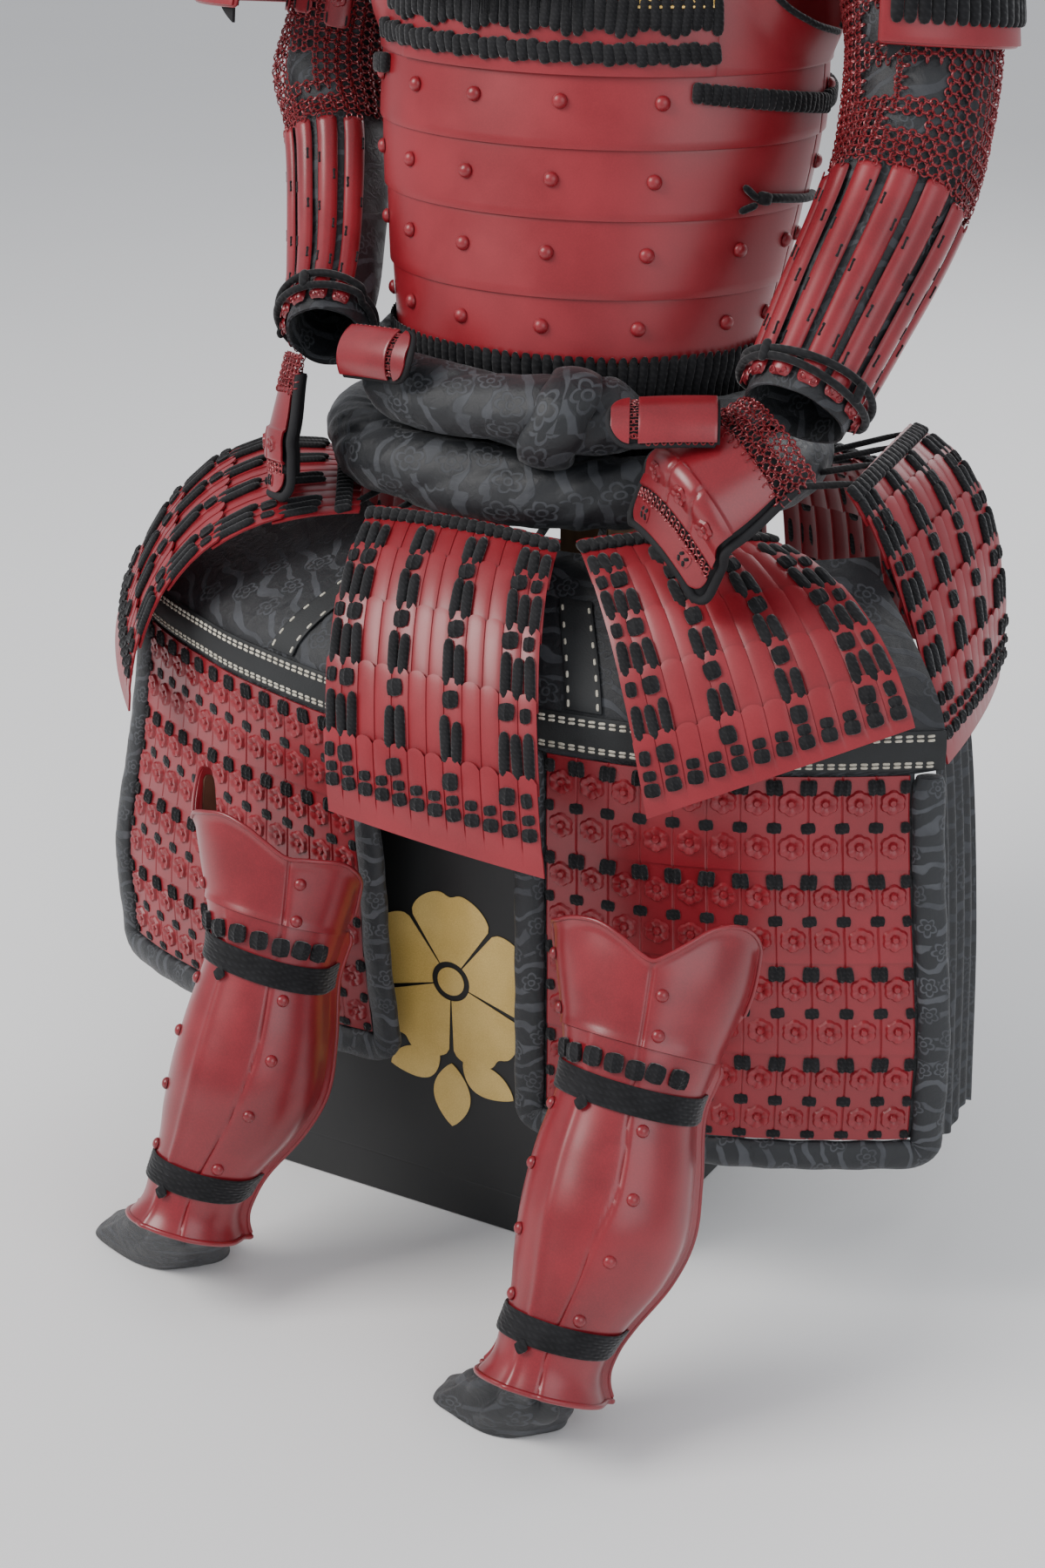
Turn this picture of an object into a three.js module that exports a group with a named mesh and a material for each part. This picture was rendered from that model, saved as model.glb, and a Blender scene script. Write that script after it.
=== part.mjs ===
// Samurai armour set out on its armour chest. Millimetres, +Z up, front towards -Y.
import * as THREE from 'three';

const gap = 0.3;                     // clearance between neighbouring pieces
const turn = 7;                      // the figure is turned this far on the chest (degrees)
const rad = Math.PI / 180;

const red = { color: 0xa8323c, roughness: 0.42, metalness: 0.1 };
const black = { color: 0x17181a, roughness: 0.85, metalness: 0.0 };
const brocade = { color: 0x1c1f24, roughness: 0.62, metalness: 0.05 };
const mailRed = { color: 0x8c3438, roughness: 0.45, metalness: 0.4 };

const chest = { width: 322, depth: 370, shift: -15, height: 450, wall: 12, lid: 16 };
const stand = { footX: 90, footZ: 12, postX: 22, barX: 128, barZ: 34, top: 1046, depth: 44, y: 46 };

// Cuirass: height, half width, half depth and how far its centre leans back
const torsoRings = [
  { z: 560, a: 138, b: 106, y: 12 },
  { z: 686, a: 147, b: 115, y: 16 },
  { z: 732, a: 156, b: 120, y: 25 },
  { z: 788, a: 166, b: 126, y: 39 },
  { z: 838, a: 174, b: 132, y: 51 },
  { z: 889, a: 176, b: 131, y: 57 },
  { z: 940, a: 177, b: 129, y: 61 },
  { z: 1010, a: 175, b: 125, y: 65 },
  { z: 1120, a: 168, b: 116, y: 70 },
];
const cuirass = { wall: 3, bottom: 686, lameTops: [732, 788, 838, 889], lameStep: 0.9, side: 89.8 };
const frontTop = [[0, 1080], [30, 1082], [36, 1066], [44, 1000], [57, 946], [72, 922], [90, 910]];
const backTop = [[0, 1112], [34, 1112], [42, 1080], [54, 990], [68, 935], [90, 912]];
const chestPanel = { halfAngle: 44, raise: 1.6 };

// Waist: lacing yoke, two sash rolls
const yoke = { top: 685.4, bottom: 562, wall: 4 };
const roll = { upperZ: 655.5, upperUp: 26.5, lowerZ: 597, lowerUp: 29, across: 26, lowerAcross: 29 };

// Skirt flaps: top, control and bottom points of the front and the rear edge of each
const flaps = [
  { name: 'tasset_centre', camber: 5, a: [[-90, -147, 564], [-66, -262, 536], [-40, -290, 382]],
    b: [[76, -149, 564], [112, -262, 545], [144, -292, 371]] },
  { name: 'tasset_front_right', camber: 6, a: [[86, -146, 565], [160, -224, 548], [200, -246, 412]],
    b: [[200, -66, 565], [318, -128, 575], [368, -172, 490]] },
  { name: 'tasset_side_right', camber: 5, tie: [[205, -44, 566], [184, 104, 566]],
    a: [[250, -42, 602], [292, -42, 572], [343, -40, 408]],
    b: [[228, 130, 606], [318, 136, 592], [314, 140, 410]] },
  { name: 'tasset_back_right', camber: 5, a: [[186, 146, 561], [262, 232, 552], [252, 250, 380]],
    b: [[56, 196, 561], [62, 262, 552], [64, 284, 380]] },
  { name: 'tasset_back', camber: 5, a: [[40, 200, 561], [44, 266, 550], [44, 290, 378]],
    b: [[-108, 190, 561], [-140, 262, 550], [-146, 280, 378]] },
  { name: 'tasset_side_left', camber: 5, a: [[-126, 182, 561], [-200, 246, 552], [-214, 254, 380]],
    b: [[-212, 56, 561], [-300, 74, 552], [-312, 80, 380]] },
  { name: 'tasset_front_left', camber: 6, a: [[-208, 6, 552], [-312, -68, 606], [-364, -118, 424]],
    b: [[-106, -146, 556], [-244, -226, 562], [-274, -224, 390]] },
];
const lames = { count: 5, step: 3.2, base: 1.6 };

// Thigh guards: plan line of the hanging panel, and its profile (back, height)
const thighs = [
  { side: 'left', reach: 0.34, splay: 40, lean: 30, lift: 22, strap: 0.7,
    line: [[-366, -132], [-310, -164], [-251, -191], [-200, -212], [-154, -226], [-88, -243], [-26, -254]] },
  { side: 'right', reach: 0.3, splay: 18, lean: 0, lift: 0, strap: 0.17,
    line: [[84, -229], [128, -225], [172, -219], [218, -208], [262, -192], [320, -163], [390, -120]] },
];
const thighProfile = [
  { back: 100, z: 553 }, { back: 62, z: 530 }, { back: 34, z: 510 }, { back: 12, z: 490 },
  { back: 1, z: 470 }, { back: 0, z: 440 }, { back: 0, z: 437 }, { back: 0, z: 380 },
  { back: 1, z: 300 }, { back: 0, z: 220 }, { back: 2, z: 142.5 },
];
const thighCloth = { wall: 3, inset: 24.6 };
const thighPlates = { wall: 2.4, top: 437, bottom: 143, edge: 26 };
const thighBelt = { wall: 2.6, top: 469.6, bottom: 440.4 };
const thighRoll = { across: 11.8, thick: 6.4, shift: 2.6, top: 436, bottom: 118 };
const thighStrap = { width: 30, wall: 1.8 };

// Shin guards: station along the shin, half width and half depth there
const shinWidths = [[-60, 74], [0, 72], [31, 65], [71, 54], [98, 50], [146, 57], [185, 59.5],
  [220, 54], [258, 42], [280, 39], [296, 38.5], [312, 45]];
const shinDepths = [[-60, 50], [0, 50], [71, 43], [98, 42], [185, 49], [258, 39], [296, 38.5], [312, 42]];
// axis: station, x, y, z; lobes: angle round the knee, station of the upper edge there
const legs = [
  { side: 'left', wide: 0.95, roll: 15, foot: { x: -174, y: -347, across: 58, along: 40 },
    axis: [[18, -94, -282, 327], [72, -86, -304, 278], [100, -85, -315, 252], [148, -85, -334, 208],
      [189, -87, -350, 170], [230, -95, -366, 134], [261, -104, -378, 107], [279, -109, -384, 91],
      [314, -113, -399, 59]],
    lobes: [[-132, -2], [-123, -26], [-110, -31], [-97, -28], [-87, -12], [-79, 4], [-62, -1], [-44, -5],
      [-26, -8], [-9, -4], [4, 3], [18, 10], [32, 8], [56, 5], [70, 8], [84, 14], [97, 22], [112, 46]] },
  { side: 'right', wide: 1, roll: 15, foot: { x: 170, y: -402, across: 51, along: 34 },
    axis: [[0, 222, -276, 320], [71, 229, -311, 259], [98, 229, -324, 235], [146, 231, -347, 194],
      [185, 233, -366, 159], [220, 231, -383, 129], [258, 224, -401, 96], [280, 219, -411, 78],
      [312, 217, -427, 49]],
    lobes: [[-112, 32], [-98, 8], [-86, -6], [-65, -10], [-44, -15], [-27, -16], [-12, -10], [0, -2],
      [7, 0], [14, -6], [24, -17], [36, -30], [50, -37], [64, -37], [80, -31], [95, -20], [112, 24]] },
];
const shin = { wall: 2.6, half: 128, length: 312, kneeEnd: 60, plateStart: 60.4,
  strapUp: [85, 105], strapLow: [260, 281] };

// Arms: path of the limb, which way the guard faces, and where each piece starts and ends
const arms = [
  { side: 'left', thin: 0.82, face: [-0.78, -0.5, 0.38], mail: [0.30, 0.535], upper: [0.06, 0.292],
    path: [[-206, 82, 1066], [-232, 80, 990], [-248, 74, 905], [-250, 60, 853], [-240, 47, 814],
      [-223, 22, 778], [-202, -15, 738], [-177, -62, 702], [-163, -97, 680]],
    hand: { at: [-162, -114, 660], along: [-0.09, -0.35, -0.93], out: [-0.86, -0.48, 0.2], size: 0.9,
      curl: 0.25, thumb: [0.93, -0.33, 0.13], root: [-122, -138, 686] } },
  { side: 'right', thin: 1, face: [0.42, -0.7, 0.58], mail: [0.22, 0.59], upper: [0.04, 0.212],
    path: [[214, 78, 1066], [236, 70, 990], [256, 50, 905], [263, 26, 846], [260, -4, 802],
      [252, -66, 738], [245, -122, 682]],
    hand: { at: [237, -138, 663], along: [-0.56, -0.7, -0.44], out: [0.16, -0.62, 0.76], size: 1.1, curl: 1,
      thumb: [-0.88, -0.47, 0.02], root: [210, -171, 689] } },
];
const sleeveRadii = [[0, 60], [0.2, 54], [0.42, 51.5], [0.55, 50], [0.75, 46], [1, 38]];
const armWall = {
  sleeve: 2.6, mail: 3, guard: 2.2, rib: 3.2, ribs: 7, half: 105, end: 0.99, strap: [0.942, 0.98],
};
const thumb = { length: 74, half: 21, radius: 26, wall: 2.8 };

const group = new THREE.Group();

function vec(p) { return new THREE.Vector3(p[0], p[1], p[2]); }
function lookup(table, x) {          // straight-line reading of a two-column table
  if (x <= table[0][0]) return table[0][1];
  for (let i = 1; i < table.length; i++) {
    const [x0, y0] = table[i - 1];
    const [x1, y1] = table[i];
    if (x <= x1) return y0 + (y1 - y0) * (x - x0) / (x1 - x0);
  }
  return table[table.length - 1][1];
}
function smooth(t) {
  const c = Math.min(1, Math.max(0, t));
  return c * c * (3 - 2 * c);
}
function spread(from, to, n) {
  return Array.from({ length: n + 1 }, (_, i) => from + (to - from) * i / n);
}

// One closed body from a list of points and faces, turned so that its faces look outward
function addBody(name, points, faces, look) {
  let volume = 0;
  for (const [a, b, c] of faces) {
    const p = points[a];
    const q = points[b];
    const r = points[c];
    volume += p.x * (q.y * r.z - q.z * r.y) + p.y * (q.z * r.x - q.x * r.z) + p.z * (q.x * r.y - q.y * r.x);
  }
  const index = [];
  for (const [a, b, c] of faces) {
    if (volume > 0) index.push(a, b, c);
    else index.push(a, c, b);
  }
  const geometry = new THREE.BufferGeometry();
  const places = points.flatMap((p) => [p.x, p.y, p.z]);
  geometry.setAttribute('position', new THREE.Float32BufferAttribute(places, 3));
  geometry.setIndex(index);
  geometry.computeVertexNormals();
  const mesh = new THREE.Mesh(geometry, new THREE.MeshStandardMaterial(look));
  mesh.name = name;
  group.add(mesh);
  return mesh;
}

// Wall of cloth or plate over a surface: outer and inner are distances along the surface normal
function addWall(name, surface, us, vs, outer, inner, look, ring = false) {
  const points = [];
  const faces = [];
  const nu = us.length;
  const nv = vs.length;
  const e = 1e-3;
  const at = (value, u, v) => (typeof value === 'function' ? value(u, v) : value);
  const lift = [];
  for (let i = 0; i < nu; i++) {
    for (let j = 0; j < nv; j++) {
      const u = us[i];
      const v = vs[j];
      const du = surface(u + e, v).sub(surface(u - e, v));
      const dv = surface(u, v + e).sub(surface(u, v - e));
      lift.push(du.cross(dv).normalize());
    }
  }
  for (const value of [outer, inner]) {
    for (let i = 0; i < nu; i++) {
      for (let j = 0; j < nv; j++) {
        points.push(surface(us[i], vs[j]).addScaledVector(lift[i * nv + j], at(value, us[i], vs[j])));
      }
    }
  }
  const half = nu * nv;
  const id = (i, j, layer) => (i % nu) * nv + j + layer * half;
  const spans = ring ? nu : nu - 1;
  const quad = (a, b, c, d) => faces.push([a, b, c], [a, c, d]);
  for (let i = 0; i < spans; i++) {
    for (let j = 0; j < nv - 1; j++) {
      quad(id(i, j, 0), id(i + 1, j, 0), id(i + 1, j + 1, 0), id(i, j + 1, 0));
      quad(id(i, j, 1), id(i, j + 1, 1), id(i + 1, j + 1, 1), id(i + 1, j, 1));
    }
    quad(id(i, 0, 1), id(i + 1, 0, 1), id(i + 1, 0, 0), id(i, 0, 0));
    quad(id(i, nv - 1, 0), id(i + 1, nv - 1, 0), id(i + 1, nv - 1, 1), id(i, nv - 1, 1));
  }
  if (!ring) {
    for (let j = 0; j < nv - 1; j++) {
      quad(id(0, j, 0), id(0, j + 1, 0), id(0, j + 1, 1), id(0, j, 1));
      quad(id(nu - 1, j + 1, 0), id(nu - 1, j, 0), id(nu - 1, j, 1), id(nu - 1, j + 1, 1));
    }
  }
  return addBody(name, points, faces, look);
}

// The same surface read straight between fixed stations, so that pieces laid on it follow its facets
function facetted(surface, us, vs) {
  const find = (list, x) => {
    let i = 0;
    while (i < list.length - 2 && x > list[i + 1]) i++;
    return [i, (x - list[i]) / (list[i + 1] - list[i])];
  };
  const nodes = us.map((u) => vs.map((v) => surface(u, v)));
  return (u, v) => {
    const [i, a] = find(us, u);
    const [j, b] = find(vs, v);
    const low = nodes[i][j].clone().lerp(nodes[i + 1][j], a);
    const high = nodes[i][j + 1].clone().lerp(nodes[i + 1][j + 1], a);
    return low.lerp(high, b);
  };
}
function between(list, from, to) {
  return [from, ...list.filter((x) => x > from + 0.001 && x < to - 0.001), to];
}

// Solid roll through a list of rings; joined end to start when closed
function addRoll(name, rings, look, closed = false) {
  const points = rings.flat();
  const faces = [];
  const n = rings[0].length;
  const count = rings.length;
  const spans = closed ? count : count - 1;
  for (let i = 0; i < spans; i++) {
    for (let k = 0; k < n; k++) {
      const a = i * n + k;
      const b = i * n + (k + 1) % n;
      const c = ((i + 1) % count) * n + (k + 1) % n;
      const d = ((i + 1) % count) * n + k;
      faces.push([a, b, c], [a, c, d]);
    }
  }
  if (!closed) {
    for (let k = 1; k < n - 1; k++) {
      faces.push([0, k + 1, k]);
      const s = (count - 1) * n;
      faces.push([s, s + k, s + k + 1]);
    }
  }
  return addBody(name, points, faces, look);
}

// Plain block between two corners
function addBlock(name, low, high, look) {
  const geometry = new THREE.BoxGeometry(high[0] - low[0], high[1] - low[1], high[2] - low[2]);
  geometry.translate((low[0] + high[0]) / 2, (low[1] + high[1]) / 2, (low[2] + high[2]) / 2);
  const mesh = new THREE.Mesh(geometry, new THREE.MeshStandardMaterial(look));
  mesh.name = name;
  group.add(mesh);
}

// ---- chest and the stand inside the figure
function buildChest() {
  const { width, depth, height, wall, lid, shift } = chest;
  const top = height - lid - gap;
  const corner = (w, d, z) => [[-w, -d], [w, -d], [w, d], [-w, d]].map(([x, y]) => vec([x, y + shift, z]));
  const w = width / 2;
  const d = depth / 2;
  const points = [...corner(w, d, 0), ...corner(w, d, top), ...corner(w - wall, d - wall, top),
    ...corner(w - wall, d - wall, wall)];
  const faces = [[0, 2, 1], [0, 3, 2], [12, 13, 14], [12, 14, 15]];
  for (let level = 0; level < 3; level++) {
    for (let k = 0; k < 4; k++) {
      const a = level * 4 + k;
      const b = level * 4 + (k + 1) % 4;
      faces.push([a, b, b + 4], [a, b + 4, a + 4]);
    }
  }
  addBody('chest_box', points, faces, { color: 0x101112, roughness: 0.7, metalness: 0.0 });
  addBlock('chest_lid', [-w, shift - d, height - lid], [w, shift + d, height],
    { color: 0x111213, roughness: 0.68, metalness: 0.0 });

  const s = stand;
  const z0 = height + gap;
  const outline = [[-s.footX, z0], [s.footX, z0], [s.footX, z0 + s.footZ], [s.postX, z0 + s.footZ],
    [s.postX, s.top - s.barZ], [s.barX, s.top - s.barZ], [s.barX, s.top], [-s.barX, s.top],
    [-s.barX, s.top - s.barZ], [-s.postX, s.top - s.barZ], [-s.postX, z0 + s.footZ],
    [-s.footX, z0 + s.footZ]];
  const shape = new THREE.Shape(outline.map(([x, z]) => new THREE.Vector2(x, z)));
  const geometry = new THREE.ExtrudeGeometry(shape, { depth: s.depth, bevelEnabled: false });
  geometry.rotateX(Math.PI / 2);
  geometry.translate(0, s.y + s.depth / 2, 0);
  const mesh = new THREE.Mesh(geometry, new THREE.MeshStandardMaterial({ color: 0x5b4632, roughness: 0.75 }));
  mesh.name = 'inner_stand';
  group.add(mesh);
}

// ---- cuirass
function torsoPoint(angle, z, out = 0) {
  const column = (key) => lookup(torsoRings.map((r) => [r.z, r[key]]), z);
  const p = angle * rad;
  const x = (column('a') + out) * Math.sin(p);
  const y = -(column('b') + out) * Math.cos(p);
  const lean = column('y');
  const c = Math.cos(turn * rad);
  const s = Math.sin(turn * rad);
  return new THREE.Vector3(x * c - y * s - 0.12 * (lean - 16), x * s + y * c + lean, z);
}
function buildCuirass() {
  const { wall, bottom, lameTops, lameStep, side } = cuirass;
  const half = chestPanel.halfAngle;
  const levels = [bottom];
  for (const z of lameTops) levels.push(z - 0.3, z + 0.3);
  const last = lameTops[lameTops.length - 1] + 0.3;
  const rows = [...levels.map((z, i) => i), ...[1, 2, 3, 4].map((k) => levels.length - 1 + k)];
  const makeHalf = (name, centre, topTable, us, panel) => {
    const heightAt = (angle, row) => {
      const i = Math.min(rows.length - 1, Math.max(0, row));
      const whole = Math.floor(i);
      const next = Math.min(rows.length - 1, whole + 1);
      const z = (k) => (k < levels.length ? levels[k]
        : last + (lookup(topTable, Math.abs(angle)) - last) * (k - levels.length + 1) / 4);
      return z(whole) + (z(next) - z(whole)) * (i - whole);
    };
    const surface = (u, v) => {
      const z = heightAt(u, v);
      const near = lookup(topTable, Math.abs(u)) - z;
      const flare = 8 * smooth(1 - near / 30) * smooth((Math.abs(u) - 44) / 16);
      return torsoPoint(centre + u, z, flare);
    };
    const outer = (u, v) => {
      let lift = 0;
      if (v < levels.length - 0.5) lift = Math.round(v) % 2 === 1 ? lameStep : 0;
      if (panel && v > levels.length - 1.5 && Math.abs(u) < half) lift = chestPanel.raise;
      return lift;
    };
    addWall(name, surface, us, rows, outer, -wall, red);
  };
  const even = spread(-side, side, 18).filter((u) => Math.abs(Math.abs(u) - half) > 2.5);
  const frontUs = [...even, -half - 0.2, -half + 0.2, half - 0.2, half + 0.2].sort((p, q) => p - q);
  makeHalf('breastplate', 0, frontTop, frontUs, true);
  makeHalf('backplate', 180, backTop, spread(-side, side, 16), false);

  for (const [name, sign] of [['shoulder_strap_left', -1], ['shoulder_strap_right', 1]]) {
    const front = torsoPoint(sign * 26, 1089, 2);
    const back = torsoPoint(180 - sign * 27, 1119, 2);
    const path = new THREE.CatmullRomCurve3([back, vec([sign * 84 - 8, 150, 1152]),
      vec([sign * 88 - 6, 84, 1166]), vec([sign * 86 - 2, 14, 1140]), front]);
    const surface = (u, v) => {
      const p = path.getPoint(Math.min(1, Math.max(0, v)));
      if (v < 0) p.addScaledVector(path.getTangent(0), v * 150);
      if (v > 1) p.addScaledVector(path.getTangent(1), (v - 1) * 150);
      return p.add(new THREE.Vector3(u, 0, -Math.abs(u) * 0.12));
    };
    addWall(name, surface, [-24, -10, 10, 24], spread(0, 1, 9), 2, -2, red);
  }
}

// ---- waist lacing and the rolled sash
function buildWaist() {
  const surface = (u, v) => torsoPoint(u * 360, v, v > 680 ? 0 : 1);
  addWall('waist_lacing', surface, spread(0, 1, 30).slice(0, 30), [yoke.top, 630, yoke.bottom], 0, -yoke.wall,
    black, true);

  const ring = (angle, z, across, up, out) => {
    const points = [];
    const centre = torsoPoint(angle, z, out);
    const direction = centre.clone().sub(torsoPoint(angle, z, 0)).setZ(0).normalize();
    for (let k = 0; k < 8; k++) {
      const t = k / 8 * 2 * Math.PI;
      points.push(centre.clone().addScaledVector(direction, across * Math.cos(t))
        .add(new THREE.Vector3(0, 0, up * Math.sin(t))));
    }
    return points;
  };
  const upper = [];
  const lower = [];
  for (let k = 0; k < 32; k++) {
    const angle = k * 11.25 - 180;
    const knot = Math.exp(-(((angle - 14) / 15) ** 2));
    const thin = smooth((angle - 26) / 12) * (1 - smooth((angle - 120) / 30));
    const tuck = smooth((-angle - 38) / 14) * (1 - smooth((-angle - 110) / 40));
    const wave = 1 + 0.03 * Math.sin(angle * rad * 7);
    const across = (roll.across * wave + 8 * knot) * (1 - 0.42 * thin - 0.52 * tuck);
    const up = (roll.upperUp + knot) * (1 - 0.46 * thin);
    upper.push(ring(angle, roll.upperZ - 10 * thin, across, up, across + 2.4));
    const wave2 = 1 + 0.03 * Math.sin(angle * rad * 6 + 1);
    const wide = roll.lowerAcross * wave2;
    lower.push(ring(angle, roll.lowerZ, wide, roll.lowerUp, wide + 6));
  }
  addRoll('sash_upper', upper, brocade, true);
  addRoll('sash_lower', lower, brocade, true);

  const tail = new THREE.CatmullRomCurve3([vec([268, 40, 540]), vec([300, 40, 480]), vec([318, 40, 400]),
    vec([334, 40, 240]), vec([342, 40, 66])]);
  const tailSurface = (u, v) => {
    const p = tail.getPoint(Math.min(1, Math.max(0, v)));
    if (v < 0) p.z += -v * 500;
    if (v > 1) p.z -= (v - 1) * 500;
    return p.add(new THREE.Vector3(-0.0008 * u * u, u, 0));
  };
  addWall('sash_tail', tailSurface, [-34, -14, 10, 30], spread(0, 1, 9), 0, -3, brocade);
}

// ---- laced skirt flaps, each of five overlapping lames
function buildFlaps() {
  const bezier = ([p, q, r], t) => vec(p).multiplyScalar((1 - t) ** 2)
    .addScaledVector(vec(q), 2 * t * (1 - t)).addScaledVector(vec(r), t * t);
  for (const flap of flaps) {
    const surface = (u, v) => {
      if (v < -0.01) {
        return vec(flap.tie[0]).lerp(vec(flap.tie[1]), u).add(new THREE.Vector3(0, 0, -70 * (v + 0.2)));
      }
      const p = bezier(flap.a, v);
      const q = bezier(flap.b, v);
      const middle = p.clone().lerp(q, u);
      const across = q.clone().sub(p);
      const down = bezier(flap.a, v + 0.01).sub(bezier(flap.a, v - 0.01));
      const out = across.cross(down).normalize().multiplyScalar(-1);
      return middle.addScaledVector(out, 4 * flap.camber * u * (1 - u));
    };
    const vs = flap.tie ? [-0.2] : [];
    const high = new Set();
    for (let k = 0; k < lames.count; k++) {
      const start = k / lames.count + (k ? 0.003 : 0);
      vs.push(start, (k + 1) / lames.count - (k < lames.count - 1 ? 0.003 : 0));
      high.add(start);
    }
    const lift = (u, v) => -(lames.base + (high.has(v) ? lames.step : 0));
    addWall(flap.name, surface, [0, 0.25, 0.5, 0.75, 1], vs, lift, 0, red);
  }
}

// ---- thigh guards
function buildThighs() {
  for (const guard of thighs) {
    const line = new THREE.CatmullRomCurve3(guard.line.map(([x, y]) => vec([x, y, 0])));
    const length = line.getLength();
    const heights = thighProfile.map((row) => [-row.z, row.back]);
    const isLeft = guard.side === 'left';
    const smoothSurface = (u, v) => {           // u in mm along the panel, v = minus the height
      const t = Math.min(1, Math.max(0, u / length));
      const p = line.getPointAt(t);
      const along = line.getTangentAt(t);
      p.addScaledVector(along, u - t * length);
      const back = lookup(heights, v);
      const outer = isLeft ? 1 - t : t;
      const reach = guard.reach * length * Math.min(1, back / 92);
      const inward = outer * (reach + guard.splay * smooth((-v - 200) / 240));
      const spill = (1 - outer) * 36 * Math.min(1, back / 60);
      const low = Math.min(1, Math.max(0, (440 + v) / 300));
      const rise = guard.lift * (1 - outer) * low;
      const sign = isLeft ? 1 : -1;
      const lean = guard.lean * (1 - outer) ** 2 * low;
      return new THREE.Vector3(p.x + sign * (inward + spill), p.y + back + lean, -v + rise);
    };
    const columns = spread(0, length, 8);
    const rows = thighProfile.map((row) => -row.z);
    const surface = facetted(smoothSurface, columns, rows);
    const clothSurface = (u, v) => {
      const inset = v <= -438.5 ? 1 : thighCloth.inset;
      return surface(Math.min(length - inset, Math.max(inset, u)), v);
    };
    const cols = (inset) => between(columns, inset, length - inset);
    addWall(`thigh_cloth_${guard.side}`, clothSurface, [0.01, ...columns.slice(1, 8), length - 0.01], rows, 0,
      thighCloth.wall, brocade);
    addWall(`thigh_plates_${guard.side}`, surface, cols(thighPlates.edge),
      between(rows, -thighPlates.top + 0.4, -thighPlates.bottom), -gap - thighPlates.wall, -gap, red);
    addWall(`thigh_belt_${guard.side}`, surface, cols(0.5), [-thighBelt.top, -thighBelt.bottom],
      -gap - thighBelt.wall, -gap, black);

    const centre = guard.strap * length;
    addWall(`thigh_strap_${guard.side}`, surface, between(columns, centre - 15, centre + 15),
      [-530, -510, -490, -472], -gap - thighStrap.wall, -gap, black);

    const e = thighRoll.across;
    const turnR = 12.6;
    const stations = [];
    const top = -thighRoll.top;
    const low = -(thighRoll.bottom + e);
    for (const v of spread(top, low - turnR, 4)) stations.push([e, v, 1, 0]);
    for (const a of [30, 60]) {
      stations.push([e + turnR * (1 - Math.cos(a * rad)), low - turnR + turnR * Math.sin(a * rad),
        Math.cos(a * rad), -Math.sin(a * rad)]);
    }
    for (const u of between(columns, e + turnR, length - e - turnR)) stations.push([u, low, 0, -1]);
    for (const a of [30, 60]) {
      stations.push([length - e - turnR + turnR * Math.sin(a * rad), low - turnR + turnR * Math.cos(a * rad),
        -Math.sin(a * rad), -Math.cos(a * rad)]);
    }
    for (const v of spread(low - turnR, top, 4)) stations.push([length - e, v, -1, 0]);
    const rings = stations.map(([u, v, nu, nv]) => {
      const points = [];
      const at = surface(u, v);
      const side = surface(u + nu, v + nv).sub(at).normalize();
      const du = surface(u + 0.5, v).sub(surface(u - 0.5, v));
      const inside = du.cross(new THREE.Vector3(0, 0, -1)).normalize();
      for (let k = 0; k < 8; k++) {
        const t = (k + 0.5) / 8 * 2 * Math.PI;
        points.push(at.clone().addScaledVector(side, e * Math.cos(t))
          .addScaledVector(inside, thighRoll.thick * Math.sin(t) - thighRoll.shift));
      }
      return points;
    });
    addRoll(`thigh_border_${guard.side}`, rings, brocade);
  }
}

// ---- shin guards
function legPoint(leg, angle, s, out = 0, open = true) {
  const axis = (k) => {
    const rows = leg.axis;
    const [r0, r1] = s < rows[0][0] ? rows : [null, null];
    if (r0) return r0[k] + (r1[k] - r0[k]) * (s - r0[0]) / (r1[0] - r0[0]);
    return lookup(rows.map((row) => [row[0], row[k]]), s);
  };
  const top = leg.axis[0];
  const end = leg.axis[leg.axis.length - 1];
  const down = new THREE.Vector3(end[1] - top[1], end[2] - top[2], end[3] - top[3]).normalize();
  const side = new THREE.Vector3(1, 0, 0).addScaledVector(down, -down.x).normalize();
  const front = down.clone().cross(side).normalize();
  if (front.y > 0) front.multiplyScalar(-1);
  side.applyAxisAngle(down, -leg.roll * rad);
  front.applyAxisAngle(down, -leg.roll * rad);
  const past = Math.abs(angle) - 90;
  let across = Math.sin(angle * rad);
  let ahead = Math.cos(angle * rad);
  if (open && past > 0) {
    across = Math.sign(angle) * Math.cos(0.35 * past * rad);
    if (past > 38) across *= Math.cos((past - 38) / 52 * Math.PI / 2);
    ahead = -Math.sin(past * rad);
  }
  const drop = s > end[0] ? (s - end[0]) : 0;
  return new THREE.Vector3(axis(1), axis(2), axis(3)).addScaledVector(down, drop)
    .addScaledVector(side, (lookup(shinWidths, s) * leg.wide + out) * across)
    .addScaledVector(front, (lookup(shinDepths, s) * leg.wide + out) * ahead);
}
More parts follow.
